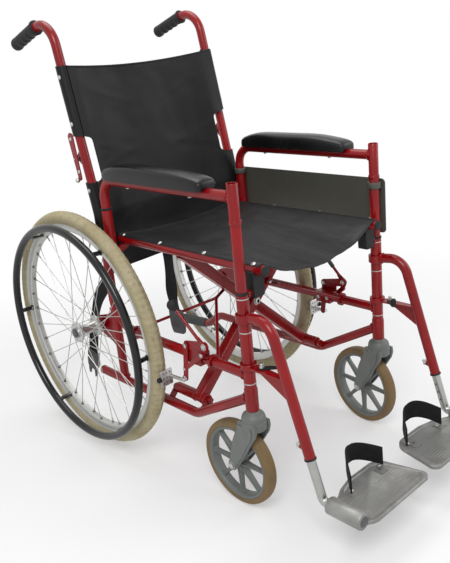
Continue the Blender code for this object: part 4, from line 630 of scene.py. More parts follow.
def side_frame(side):
    x = FRAME_X
    back = rounded_path([(x, back_y(0.7322), 0.7322), (x, BACK_Y, BACK_BEND_Z),
                         (x, BACK_Y, MID_RAIL_Z), (x, POST_Y, MID_RAIL_Z)], [0.12, 0.075], 16)
    corners = [(x, POST_Y, 0.272), (x, HUB_Y - 0.361, LOWER_RAIL_Z),
               (x, HUB_Y + 0.015, LOWER_RAIL_Z)]
    radii = [0.05]
    if side > 0:
        corners[2] = (x, HUB_Y + 0.035, LOWER_RAIL_Z)
        corners += [TIPPING_START, TIPPING_END]
        radii += [0.05, 0.05]
    rest_top = SEAT_RAIL_Z - TUBE - 0.0003
    rest = [(SEAT_RAIL_X - 0.012, rest_top - 0.006), (SEAT_RAIL_X - 0.008, rest_top),
            (SEAT_RAIL_X + 0.008, rest_top), (x - 0.006, rest_top - 0.004),
            (x - 0.006, rest_top - 0.026), (SEAT_RAIL_X, rest_top - 0.012)]
    pin_y = back_y(BACK_JOINT_Z) + 0.025
    meshes = [
        sweep(back, TUBE), sweep(rounded_path(corners, radii, 12), TUBE),
        rod((x, POST_Y, 0.290), (x, POST_Y, 0.4952), POST),
        turned([(0.0125, 0.2425), (0.0142, 0.2433), (0.0142, 0.291), (0.0134, 0.2935),
                (POST, 0.2945)], (x, POST_Y, 0), "Z", 40, False),
        rod((x, BACK_Y, LOWER_RAIL_Z), (x, BACK_Y, MID_RAIL_Z + 0.045), TUBE * 0.97),
        rod((x, ARM_REAR_Y, 0.497), (x, ARM_REAR_Y, 0.617), POST),
        axle_plate(),
        rod((0.2055, HUB_Y, WHEEL_RADIUS), (WHEEL_X - 0.032, HUB_Y, WHEEL_RADIUS), 0.015),
        rod((x, POST_Y, SADDLE_Z), (SEAT_RAIL_X + 0.004, POST_Y, SADDLE_Z), 0.0070),
        slab(rest, ARM_REAR_Y - 0.005, ARM_REAR_Y + 0.005, "XZ"),
        slab(oblong(ARM_REAR_Y + 0.010, 0.499, BACK_Y - 0.008, 0.523), x - 0.004, x + 0.004),
        slab(bar_outline((back_y(0.710), 0.710), (pin_y, BACK_JOINT_Z), 0.0070, 0.0060),
             x - 0.0018, x + 0.0018),
        weld((x, POST_Y + POST, MID_RAIL_Z), (0, 1, 0), TUBE),
        weld((x, POST_Y + POST, 0.266), (0, 1, -0.55), TUBE),
        weld((x, BACK_Y, LOWER_RAIL_Z + TUBE), (0, 0, 1), TUBE),
        weld((x, BACK_Y, MID_RAIL_Z + 0.046), (0, 0.2, 1), TUBE * 0.97),
        weld((x - POST, POST_Y, SADDLE_Z), (1, 0, 0), 0.0070),
        weld((0.2155, HUB_Y, WHEEL_RADIUS), (1, 0, 0), 0.015)]
    for start in (SLEEVE_FRONT - 0.0055, SLEEVE_REAR + 0.0015):
        ahead = max(0.0, (HUB_Y - 0.361) - (start + 0.002))
        rail_z = LOWER_RAIL_Z + ahead * (0.272 - LOWER_RAIL_Z) / 0.184
        meshes.append(slab(bar_outline((x, rail_z), (CROSS_PIVOT_X, CROSS_PIVOT_Z), 0.0085, 0.0085),
                           start, start + 0.004, "XZ"))
    for low, high in ((SLEEVE_FRONT - 0.0105, SLEEVE_FRONT - 0.0055),
                      (SLEEVE_REAR + 0.0055, SLEEVE_REAR + 0.0105)):
        meshes.append(hex_nut((CROSS_PIVOT_X, low, CROSS_PIVOT_Z),
                              (CROSS_PIVOT_X, high, CROSS_PIVOT_Z), 0.0086))
    return paired("side_frame_shell", meshes, "red_paint", "frame", side, "side_frame")


for side in SIDES:
    side_frame(side)
print("side frames: tubes of", TUBE * 2000, "and", POST * 2000, "mm")

# %% [markdown]
# ## What is fixed to the frames
#
# The front posts carry pale rings where a worn label band sat, and plastic bungs close the tube
# ends. The left rail runs on behind the wheel as a tipping lever with a ribbed rubber sleeve. A
# black moulded saddle on a stub holds up the front of each seat rail.

# %% Rings, bungs, saddles and the tipping sleeve
def post_rings(side):
    x = FRAME_X
    meshes = [turned([(POST + 0.0001, z - 0.0011), (POST + 0.0005, z - 0.0008),
                      (POST + 0.0005, z + 0.0008), (POST + 0.0001, z + 0.0011)],
                     (x, POST_Y, 0), "Z", 48) for z in (0.4875, 0.3050, 0.4170)]
    paired("post_rings", meshes, "zinc", "frame", side)
    end_y = HUB_Y + 0.015
    bungs = [] if side > 0 else [turned(
        [(TUBE * 0.98, end_y), (TUBE * 1.04, end_y + 0.0006), (TUBE, end_y + 0.0035),
         (TUBE * 0.6, end_y + 0.0055)], (x, 0, LOWER_RAIL_Z), "Y", 36, False)]
    bungs.append(turned([(POST * 1.02, 0.4953), (POST * 1.06, 0.4962), (POST * 1.06, 0.4992),
                         (TUBE * 1.03, 0.5004)], (x, POST_Y, 0), "Z", 40, False))
    bungs.append(turned([(POST * 1.02, 0.6171), (POST * 1.06, 0.6180), (POST * 1.06, 0.6210),
                         (TUBE * 1.03, 0.6222)], (x, ARM_REAR_Y, 0), "Z", 40, False))
    paired("socket_rings", bungs, "black_rubber", "frame", side)


def saddle(side):
    x, base, lip = SEAT_RAIL_X, SADDLE_Z - 0.011, SEAT_RAIL_Z - 0.003
    r = TUBE + 0.0006
    seat = [(x + r * cos(radians(t)), SEAT_RAIL_Z + r * sin(radians(t)))
            for t in range(-14, -167, -9)]
    outline = [(x - 0.0150, base + 0.004), (x - 0.0140, base + 0.001), (x - 0.0110, base),
               (x + 0.0110, base), (x + 0.0128, base + 0.001), (x + 0.0137, base + 0.004),
               (x + 0.0150, lip - 0.010), (x + 0.0150, lip - 0.001)] + seat + \
        [(x - 0.0150, lip + 0.002), (x - 0.0165, lip - 0.004)]
    paired("saddle_shell", [slab(outline, POST_Y - 0.012, POST_Y + 0.012, "XZ", 0.0008)],
           "black_rubber", "frame", side, "seat_saddle")


def tipping_sleeve():
    run = (TIPPING_END - TIPPING_START).normalized()
    back = TIPPING_END + run * 0.004
    length = 0.154
    path, radii = [], []
    for k in range(117):
        t = k / 116
        path.append(back - run * length * (1 - t))
        rib = 0.0007 if k % 4 in (1, 2) and 6 < k < 104 else 0.0
        lead_in, taper = 0.0010 if k < 2 else 0.0, 0.004 * max(0, t - 0.975) / 0.025
        radii.append(0.0137 + rib - lead_in - taper)
    piece("tipping_sleeve_shell", [sweep(path, radii, 36)], "sleeve_rubber", "frame_left",
          replaces=["tipping_sleeve_left"])


for side in SIDES:
    post_rings(side)
    saddle(side)
tipping_sleeve()
print("fittings on the side frames done")

# %% [markdown]
# ## The rear wheels
#
# A wheel is a tyre, a rim, thirty-six spokes and a hub. The spokes are laced three-cross: each one
# leaves its flange at a tangent and crosses three others before the rim. Lacing is only
# arithmetic, so a loop makes it, and every spoke ends in a nipple over a dark grey disc of
# painted shade, which stands for the shadow in the nipple's hole.

# %% Tyre and rim
RIM_OUTER, RIM_INNER = 0.2752, 0.2572
FLANGE = 0.028
TYRE_SIDES = [(0.2755, 0.62), (0.2772, 0.80), (0.2800, 0.93), (0.2840, 0.995), (0.2880, 0.995),
              (0.2918, 0.945), (0.2942, 0.90), (0.2965, 0.835), (0.2990, 0.72), (0.3008, 0.60),
              (0.3024, 0.46), (0.3036, 0.32), (0.3045, 0.16), (0.3048, 0.0)]
TREAD_STEPS = 240


def tyre(side):
    """The shoulders are notched: every other step of the tread sinks a little."""
    half = 0.018
    profile = mirrored([(r, -half * w) for r, w in TYRE_SIDES])
    rings = []
    for k in range(TREAD_STEPS * 2):
        t = 2 * pi * k / (TREAD_STEPS * 2)
        notch = 0.0024 if k % 4 in (0, 1) else 0.0
        ring = []
        for r, a in profile:
            shoulder = 0.2975 < r < 0.3043
            deep = r - notch * (0.9 if shoulder else 0.35 if r > 0.2935 else 0.0)
            # two fine grooves run right round, beside the crown
            deep -= 0.0007 if 0.3034 < r < 0.3040 else 0.0
            ring.append(Vector((WHEEL_X + a, HUB_Y + deep * cos(t),
                                WHEEL_RADIUS + deep * sin(t))))
        rings.append(ring)
    return paired("tyre", [skin(rings, True)], "cream_tyre", "wheel", side, "rear_tyre", smooth=50)


def rim(side):
    """A box section with a rolled lip on each side and a shallow well for the nipples."""
    half = 0.0125
    profile = mirrored([(RIM_OUTER, -half * 0.80), (RIM_OUTER + 0.0004, -half * 0.96),
                        (RIM_OUTER - 0.0010, -half), (RIM_OUTER - 0.0026, -half * 0.97),
                        (RIM_OUTER - 0.0034, -half * 0.90), (RIM_INNER + 0.0060, -half * 0.80),
                        (RIM_INNER + 0.0016, -half * 0.66), (RIM_INNER, -half * 0.50),
                        (RIM_INNER + 0.0006, -half * 0.30)])
    return paired("rim", [turned(profile, (WHEEL_X, HUB_Y, WHEEL_RADIUS), "X", 180)],
                  "rim_metal", "wheel", side, "rear_wheel", "zinc", smooth=30)


for side in SIDES:
    tyre(side)
    rim(side)
print("a tyre has", TREAD_STEPS, "steps of tread")

# %% Spokes, nipples and hub
SPOKES = 36


def spoke_ends(index):
    """Where one spoke leaves its flange and where it meets the rim."""
    flange, way = (1 if index % 2 else -1), (1 if (index // 2) % 2 else -1)
    rim_turn = 2 * pi * index / SPOKES
    hub_turn = rim_turn + way * 2 * pi * 3 / (SPOKES // 2)
    start = Vector((WHEEL_X + flange * FLANGE + way * 0.0018, HUB_Y + 0.023 * cos(hub_turn),
                    WHEEL_RADIUS + 0.023 * sin(hub_turn)))
    reach = RIM_INNER + 0.002
    end = Vector((WHEEL_X + flange * 0.0035, HUB_Y + reach * cos(rim_turn),
                  WHEEL_RADIUS + reach * sin(rim_turn)))
    return start, end, flange, way


def spokes(side):
    bars, nipples, painted_hole_shade = [], [], []
    for index in range(SPOKES):
        start, end, flange, way = spoke_ends(index)
        run = (end - start).normalized()
        bars.append(rod(start, end - run * 0.006, 0.0010, 8, 0.0002))
        head = Vector((start.x + way * 0.0012, start.y, start.z))
        bars.append(ball(head, 0.0021, 8))
        nipples.append(sweep([end - run * 0.0145, end - run * 0.0138, end - run * 0.005,
                              end + run * 0.001], [0.0012, 0.0018, 0.0021, 0.0024], 8))
        # a dark grey disc under each nipple is painted shade: the shadow in its hole in the rim
        out = Vector((0, end.y - HUB_Y, end.z - WHEEL_RADIUS)).normalized()
        painted_hole_shade.append(rod(end - out * 0.0022, end - out * 0.0008, 0.0040, 16, 0.0003))
    paired("spokes", bars, "zinc", "wheel", side, "rear_wheel")
    paired("nipples", nipples, "chrome", "wheel", side)
    paired("nipple_hole_shade", painted_hole_shade, "dark_grey", "wheel", side)


def hub(side):
    wall, r, big = 0.0022, 0.0138, 0.0262
    profile = [(0.0066, -FLANGE - 0.0035), (0.0120, -FLANGE - 0.0033), (0.0140, -FLANGE - wall),
               (0.0250, -FLANGE - wall), (big, -FLANGE - wall + 0.0008),
               (big, -FLANGE + wall - 0.0008), (0.0250, -FLANGE + wall),
               (0.0190, -FLANGE + wall + 0.0004),
               (0.0158, -FLANGE + wall + 0.0028), (r, -FLANGE + wall + 0.0080), (r * 0.93, 0),
               (r, FLANGE - wall - 0.0080), (0.0158, FLANGE - wall - 0.0028),
               (0.0190, FLANGE - wall - 0.0004), (0.0250, FLANGE - wall),
               (big, FLANGE - wall + 0.0008), (big, FLANGE + wall - 0.0008),
               (0.0250, FLANGE + wall), (0.0136, FLANGE + wall), (0.0134, FLANGE + 0.0060),
               (0.0066, FLANGE + 0.0061)]
    paired("hub", [turned(profile, (WHEEL_X, HUB_Y, WHEEL_RADIUS), "X", 72)], "zinc",
           "wheel", side, smooth=30)


def axle(side):
    inner, outer = 0.2052, WHEEL_X + FLANGE + 0.0063
    place = (0, HUB_Y, WHEEL_RADIUS)
    paired("axle_nut", [
        hex_nut((inner - 0.0080, *place[1:]), (inner, *place[1:]), 0.0100),
        rod((inner - 0.0095, *place[1:]), (outer, *place[1:]), 0.0062)],
        "zinc", "frame", side, "rear_axle")
    paired("axle_cap", [turned(
        [(0.0062, outer - 0.0002), (0.0115, outer), (0.0119, outer + 0.0008),
         (0.0117, outer + 0.0022), (0.0100, outer + 0.0033), (0.0060, outer + 0.0040),
         (0.0012, outer + 0.0042)], place, "X", 48, False)], "dark_grey", "frame", side)


for side in SIDES:
    spokes(side)
    hub(side)
    axle(side)
print(SPOKES, "spokes in each wheel, crossing three times")

# %% [markdown]
# ## Push rings
#
# The occupant turns a ring outside the wheel. It is a bent tube with a gloss coating, held off the
# rim by six steel tabs. Each tab is a folded strip with a round-headed bolt.

# %% Push rings
RING_RADIUS, RING_TUBE, RING_X = 0.2724, 0.0095, WHEEL_X + 0.044


def rim_face(radius):
    return WHEEL_X + 0.0125 * (0.62 + 0.38 * (radius - RIM_INNER) / 0.018)


def push_ring(side):
    turns = [2 * pi * k / 180 for k in range(180)]
    loop = [(RING_X, HUB_Y + RING_RADIUS * cos(t), WHEEL_RADIUS + RING_RADIUS * sin(t))
            for t in turns]
    paired("push_ring", [sweep(loop, RING_TUBE, 24, True)], "glossy_black", "wheel",
           side, "pushrim", "black_rubber")
    tabs, bolts = [], []
    for k in range(6):
        turn = radians(1 + 60 * k)
        place = Matrix.Translation((0, HUB_Y, WHEEL_RADIUS)) @ \
            Matrix.Rotation(turn - pi / 2, 4, "X")
        near, far = rim_face(0.2640) + 0.0003, RING_X - 0.003
        strip = slab([(near, 0.2615), (near + 0.002, 0.2600), (far - 0.006, 0.2618), (far, 0.2640),
                      (far, 0.2680), (far - 0.005, 0.2668), (near + 0.002, 0.2650),
                      (near, 0.2668)], -0.0052, 0.0052, "XZ", 0.0004)
        foot = slab(oblong(-0.0068, 0.2582, 0.0068, 0.2700), near - 0.0001, near + 0.0014)
        bolt = turned([(0.0034, near + 0.0013), (0.0034, near + 0.0024), (0.0022, near + 0.0034),
                       (0.0006, near + 0.0037)], (0, 0, 0.2602), "X", 20, False)
        tabs += moved([strip, foot], place)
        bolts += moved([bolt], place)
    paired("ring_tabs", tabs, "glossy_black", "wheel", side, slot="black_rubber")
    paired("ring_bolts", bolts, "zinc", "wheel", side)


for side in SIDES:
    push_ring(side)
print("push rings at x", round(RING_X, 4))

# %% [markdown]
# ## The casters
#
# The front wheels are moulded nylon. Eight spokes taper from the hub to the rim, with soft fillets
# where they meet it. The fork is one moulding too: a stepped head and two legs. The fork turns
# about its stem, and the left one was left pointing a little aside.

# %% Caster wheels and tyres
CASTER_R, CASTER_Y = 0.0988, POST_Y + 0.0546
CASTER_SEAT, CASTER_INNER = 0.0845, 0.0760
HEADING = {-1: radians(0.5), 1: radians(-7.0)}


def heading(side):
    stem = Vector((side * FRAME_X, POST_Y, 0))
    return Matrix.Translation(stem) @ Matrix.Rotation(HEADING[side], 4, "Z") @ \
        Matrix.Translation(-stem)


# a spoke's section is a rounded bar, with a rib standing along its middle
SPOKE_SECTION = half_turned([(-1, -0.32), (-0.72, -0.40), (-0.60, -0.86), (-0.45, -1), (0.45, -1),
                             (0.60, -0.86), (0.72, -0.40), (1, -0.32)])
# radius, half width and half depth along a spoke
SPOKE_STATIONS = [(0.0125, 0.0095, 0.0100), (0.0165, 0.0072, 0.0094), (0.0220, 0.0060, 0.0086),
                  (0.0380, 0.0050, 0.0076), (0.0580, 0.0041, 0.0068), (0.0700, 0.0042, 0.0066),
                  (0.0745, 0.0056, 0.0072), (0.0772, 0.0085, 0.0082)]
CASTER_SPOKES = 8


def caster_wheel(side):
    place = (FRAME_X, CASTER_Y, CASTER_R)
    rim_line = mirrored([(CASTER_SEAT, -0.0125), (CASTER_SEAT - 0.001, -0.0134),
                         (0.0815, -0.0130), (0.0790, -0.0118), (0.0772, -0.0100),
                         (CASTER_INNER, -0.0040), (CASTER_INNER - 0.0004, 0.0)])
    hub_line = mirrored([(0.0042, -0.0165), (0.0105, -0.0165), (0.0118, -0.0158),
                         (0.0142, -0.0120), (0.0146, -0.0100)])
    meshes = [turned(rim_line, place, "X", 96), turned(hub_line, place, "X", 64)]
    for k in range(CASTER_SPOKES):
        bar = skin([[Vector((d * u, w * v, r)) for u, v in SPOKE_SECTION]
                    for r, w, d in SPOKE_STATIONS])
        meshes += moved([bar], Matrix.Translation(place) @ Matrix.Rotation(
            2 * pi * k / CASTER_SPOKES, 4, "X"))
    paired("caster", meshes, "grey_plastic", "caster", side, "caster_wheel", turn=heading(side))


def caster_tyre(side):
    """A solid tyre with a mould line at its crown and a step at each shoulder."""
    r, half = CASTER_R, 0.014
    edge = [(CASTER_SEAT + 0.0002, 0.92), (0.0870, 0.985), (0.0905, 1.0), (0.0925, 0.985),
            (0.0932, 0.945), (0.0946, 0.930), (0.0962, 0.84), (0.0976, 0.66), (0.0984, 0.44),
            (0.0986, 0.20), (0.0986, 0.045), (r, 0.03)]
    profile = mirrored([(a, -half * w) for a, w in edge])
    paired("caster_tread", [turned(profile, (FRAME_X, CASTER_Y, CASTER_R), "X", 120)],
           "tan_tyre", "caster", side, "caster_tyre", smooth=35, turn=heading(side))


for side in SIDES:
    caster_wheel(side)
    caster_tyre(side)
print("casters of", round(CASTER_R * 2000), "mm")

# %% Forks and their axles
def leg(side_way):
    """Side view of a leg, swept inwards so that it is thickest under the head."""
    foot = arc((CASTER_Y, CASTER_R), 0.0115, -115, 25, 14)
    under = 0.2005
    outline = [(POST_Y - 0.0240, under + 0.0185), (POST_Y - 0.0257, under + 0.0055),
               (POST_Y - 0.0210, under - 0.0105), (CASTER_Y - 0.0526, under - 0.0445),
               (CASTER_Y - 0.0380, under - 0.0700), (CASTER_Y - 0.0246, CASTER_R + 0.0132),
               (CASTER_Y - 0.0150, CASTER_R + 0.0010)] + foot + \
        [(CASTER_Y + 0.0060, CASTER_R + 0.0160), (CASTER_Y + 0.0014, CASTER_R + 0.0342),
         (POST_Y + 0.0480, under - 0.0400), (POST_Y + 0.0400, under - 0.0225),
         (POST_Y + 0.0300, under - 0.0030), (POST_Y + 0.0245, under + 0.0080),
         (POST_Y + 0.0240, under + 0.0185)]
    a, b = FRAME_X + side_way * 0.0173, FRAME_X + side_way * 0.0238
    rib_out = FRAME_X + side_way * 0.0249
    rib = [(CASTER_Y + (u - CASTER_Y) * 0.86 - 0.001, CASTER_R + (v - CASTER_R) * 0.90 + 0.004)
           for u, v in outline]
    return [slab(outline, min(a, b), max(a, b), edge=0.0012),
            slab(rib, min(b - side_way * 0.001, rib_out), max(b - side_way * 0.001, rib_out),
                 edge=0.0022)]


def fork(side):
    top = 0.2425
    head = turned([(0.0225, 0.2003), (0.0262, 0.2005), (0.0272, 0.2020), (0.0274, 0.2180),
                   (0.0268, 0.2194), (0.0258, 0.2200), (0.0256, 0.2215), (0.0253, 0.2262),
                   (0.0244, 0.2300), (0.0226, 0.2333), (0.0196, 0.2358), (0.0150, 0.2380),
                   (0.0136, 0.2392), (0.0128, 0.2408), (0.0124, top - 0.0003),
                   (0.0060, top - 0.0003), (0.0060, 0.2860)], (FRAME_X, POST_Y, 0), "Z", 64, False)
    paired("fork", [head, *leg(1), *leg(-1)], "grey_plastic", "fork", side,
           "caster_fork", smooth=32, turn=heading(side))
    end = 0.0241

    def at(x):
        return (FRAME_X + x, CASTER_Y, CASTER_R)

    nuts = [hex_nut(at(s * (end + 0.0006)), at(s * (end + 0.0050)), 0.0070) for s in (1, -1)]
    washers = [rod(at(s * (end - 0.0001)), at(s * (end + 0.0009)), 0.0086) for s in (1, -1)]
    bolt = rod(at(-end - 0.0058), at(end + 0.0058), 0.0039)
    paired("caster_bolt", [*nuts, *washers, bolt], "zinc", "fork", side,
           "caster_axle", turn=heading(side))


for side in SIDES:
    fork(side)
print("forks turned by", [round(v * 57.3, 1) for v in HEADING.values()], "degrees")

# %% [markdown]
# ## The cross-brace
#
# Two square tubes cross under the seat like scissors. Each turns on a sleeve low on one side and
# carries the seat rail of the other side. A bolt holds them together in the middle. Black plugs
# close their ends.

# %% Cross tubes, seat rails and the stay links
def cross_tube(name, y, low_side, body):
    low = Vector((low_side * CROSS_PIVOT_X, y, CROSS_PIVOT_Z))
    high = Vector((-low_side * SEAT_RAIL_X, y, SEAT_RAIL_Z))
    run, across = (high - low).normalized(), Vector((0, 1, 0))
    face = run.cross(across)
    half, corner = 0.0127, 0.0028
    flat = half - corner
    section = [(s * flat + corner * cos(radians(start + a)),
                t * flat + corner * sin(radians(start + a)))
               for s, t, start in ((1, 1, 0), (-1, 1, 90), (-1, -1, 180), (1, -1, 270))
               for a in (0, 22, 45, 68, 90)]
    tube = skin([[end + across * u + face * v for u, v in section]
                 for end in (low + run * 0.001, high - run * 0.0095)])
    x = -low_side * SEAT_RAIL_X
    rail = turned([(TUBE * 0.9, SEAT_RAIL_FRONT + 0.0002), (TUBE, SEAT_RAIL_FRONT + 0.0012),
                   (TUBE, SEAT_RAIL_REAR - 0.001), (TUBE * 0.9, SEAT_RAIL_REAR)],
                  (x, 0, SEAT_RAIL_Z), "Y", 36, False)
    sleeve = turned([(0.0118, SLEEVE_FRONT), (0.0127, SLEEVE_FRONT + 0.0008),
                     (0.0127, SLEEVE_REAR - 0.0008), (0.0118, SLEEVE_REAR)],
                    (low.x, 0, low.z), "Y", 40, False)
    beads = [weld((low.x, y + s * 0.0127, low.z), (0, 1, 0), 0.0124, 0.0018) for s in (1, -1)]
    piece(name + "_shell", [tube, rail, sleeve, *beads], "red_paint", body, replaces=[name])
    lines = [[(TUBE * 0.6, SEAT_RAIL_FRONT - 0.0042), (TUBE * 0.93, SEAT_RAIL_FRONT - 0.003),
              (TUBE * 1.02, SEAT_RAIL_FRONT - 0.0008), (TUBE * 1.02, SEAT_RAIL_FRONT + 0.0004)],
             [(TUBE * 1.02, SEAT_RAIL_REAR - 0.0004), (TUBE * 1.02, SEAT_RAIL_REAR + 0.0008),
              (TUBE * 0.8, SEAT_RAIL_REAR + 0.002)]]
    plugs = [turned(line, (x, 0, SEAT_RAIL_Z), "Y", 36, False) for line in lines]
    piece(name + "_plugs", plugs, "black_rubber", body)


rise = atan2(SEAT_RAIL_Z - CROSS_PIVOT_Z, CROSS_PIVOT_X + SEAT_RAIL_X)
CROSS_MID_Z = CROSS_PIVOT_Z + CROSS_PIVOT_X * tan(rise)
STAY_TIP = (-(CROSS_PIVOT_X - 0.315 * cos(rise)), CROSS_PIVOT_Z + 0.315 * sin(rise))
cross_tube("cross_tube_front", CROSS_FRONT_Y, -1, "brace_front")
cross_tube("cross_tube_rear", CROSS_REAR_Y, 1, "brace_rear")
ends = (CROSS_FRONT_Y - 0.0130, CROSS_REAR_Y + 0.0130)
piece("cross_bolt_set", [
    hex_nut((0, ends[0] - 0.0050, CROSS_MID_Z), (0, ends[0] - 0.0008, CROSS_MID_Z), 0.0085),
    hex_nut((0, ends[1] + 0.0050, CROSS_MID_Z), (0, ends[1] + 0.0008, CROSS_MID_Z), 0.0085),
    rod((0, ends[0] - 0.0010, CROSS_MID_Z), (0, ends[0], CROSS_MID_Z), 0.0105),
    rod((0, ends[1], CROSS_MID_Z), (0, ends[1] + 0.0010, CROSS_MID_Z), 0.0105),
    rod((0, ends[0] - 0.0050, CROSS_MID_Z), (0, ends[1] + 0.0050, CROSS_MID_Z), 0.0046)],
    "zinc", "brace_front", replaces=["cross_bolt"])


def stay(side):
    """A forked rod: an eye turns on the mid rail at each foot, and the tip is pinned to a brace."""
    tip_y = CROSS_FRONT_Y - 0.0173 if side > 0 else CROSS_REAR_Y + 0.0173
    tip = Vector((STAY_TIP[0], tip_y, STAY_TIP[1]))
    meshes = [turned(mirrored([(0.0042, -0.0032), (0.0080, -0.0032), (0.0086, -0.0026)]),
                     tip, "Y", 32)]
    for forward in (0.437, 0.163):
        foot = Vector((FRAME_X, HUB_Y - forward, MID_RAIL_Z))
        flat = Vector((foot.x - tip.x, 0, foot.z - tip.z))
        knee = tip + flat * 0.2
        start, stop = tip + flat.normalized() * 0.0065, foot - flat.normalized() * 0.0150
        meshes.append(sweep(rounded_path([start, knee, stop], [0.02], 8), 0.0036, 16))
        meshes.append(turned(mirrored([(0.0122, -0.0040), (0.0152, -0.0040), (0.0160, -0.0032)]),
                             foot, "Y", 40))
    paired("stay_rod", meshes, "red_paint", "stay", side, "stay_link")
    nut_y = tip_y - 0.0040 if side > 0 else tip_y + 0.0040
    paired("stay_nut", [ball((tip.x, nut_y, tip.z), 0.0040, 16)], "zinc", "stay", side)


for side in SIDES:
    stay(side)
print("the braces cross at z", round(CROSS_MID_Z, 4))

# %% [markdown]
# ## The brakes
#
# A bent lever with a ball knob pulls a link, which swings a serrated shoe against the tyre. The
# shoe is plated; its holes are dark grey discs of painted shade. Bright nuts sit on the two pins.

# %% Brakes
PLATE_X, LEVER_X = 0.2325, 0.2325 + 0.0015 + 0.0022
LEVER_PIN = (HUB_Y - 0.4321, 0.3600)
SHOE_PIN = (HUB_Y - 0.3710, 0.3480)
TAIL = (LEVER_PIN[0] + 0.020 * cos(radians(-73)), LEVER_PIN[1] + 0.020 * sin(radians(-73)))
LINK_END = (HUB_Y - 0.362, 0.290)


def brake_bracket(side):
    y1 = SHOE_PIN[0]
    clamp = [(FRAME_X - 0.0141, MID_RAIL_Z - 0.0141), (PLATE_X, MID_RAIL_Z - 0.0141),
             (PLATE_X, MID_RAIL_Z + 0.0291), (FRAME_X + TUBE + 0.0003, MID_RAIL_Z + 0.0291),
             (FRAME_X + TUBE + 0.0003, MID_RAIL_Z + 0.0141),
             (FRAME_X - 0.0141, MID_RAIL_Z + 0.0141)]
    meshes = [slab(clamp, y1 - 0.040, y1 + 0.006, "XZ", 0.0012),
              slab(bar_outline(LEVER_PIN, SHOE_PIN, 0.0100, 0.0100), PLATE_X - 0.0015,
                   PLATE_X + 0.0015)]
    paired("brake_plate", meshes, "red_paint", "frame", side, "brake_bracket")
    pins = []
    for y, z in (LEVER_PIN, SHOE_PIN):
        pins.append(rod((PLATE_X, y, z), (LEVER_X + 0.0020, y, z), 0.0030))
        pins.append(hex_nut((PLATE_X - 0.0052, y, z), (PLATE_X - 0.0015, y, z), 0.0062))
    bolts = [hex_nut((FRAME_X - 0.0181, y1 + dy, MID_RAIL_Z),
                     (FRAME_X - 0.0140, y1 + dy, MID_RAIL_Z), 0.0050) for dy in (-0.031, -0.004)]
    paired("brake_pins", pins + bolts, "zinc", "frame", side)


def brake_lever(side):
    x = LEVER_X
    pivot = Vector((x, *LEVER_PIN))
    knob = Vector((x + 0.006, HUB_Y - 0.3500, 0.4394))
    reach = (knob - pivot).normalized()
    root = pivot + reach * 0.022
    paired("lever", [
        slab(bar_outline(LEVER_PIN, TAIL, 0.0085, 0.0060), x - 0.0015, x + 0.0015),
        slab(bar_outline(LEVER_PIN, (root.y, root.z), 0.0084, 0.0045), x - 0.0014, x + 0.0016),
        sweep([pivot + reach * 0.016, pivot + reach * 0.020, knob - reach * 0.010],
              [0.0025, 0.0036, 0.0036], 20)],
        "red_paint", "lever", side, "brake_lever")
    r = 0.0125
    turns = [radians(-80 + 160 * k / 16) for k in range(17)]
    ball_line = [(r * cos(t), r * sin(t)) for t in turns]
    shape = turned(ball_line, (0, 0, 0), "Z", 36, False)
    collar = turned([(0.0050, -0.0150), (0.0062, -0.0140), (0.0066, -0.0110), (0.0075, -0.0100)],
                    (0, 0, 0), "Z", 28, False)
    paired("lever_knob", aimed([shape, collar], knob, reach), "black_rubber", "lever", side)
    heads = [hex_nut((x + 0.0016, *LEVER_PIN), (x + 0.0052, *LEVER_PIN), 0.0060),
             rod((x + 0.0010, *LEVER_PIN), (x + 0.0020, *LEVER_PIN), 0.0078),
             rod((x + 0.0010, *TAIL), (x + 0.0066, *TAIL), 0.0030),
             hex_nut((x + 0.0048, *TAIL), (x + 0.0078, *TAIL), 0.0048)]
    paired("lever_nuts", heads, "zinc", "lever", side)
    if side > 0:
        low, high = pivot + reach * 0.048, pivot + reach * 0.085
        paired("lever_sleeve", [sweep([low, low + reach * 0.001, high - reach * 0.001, high],
                                      [0.0044, 0.0052, 0.0052, 0.0044], 24)],
               "sleeve_rubber", "lever", side)


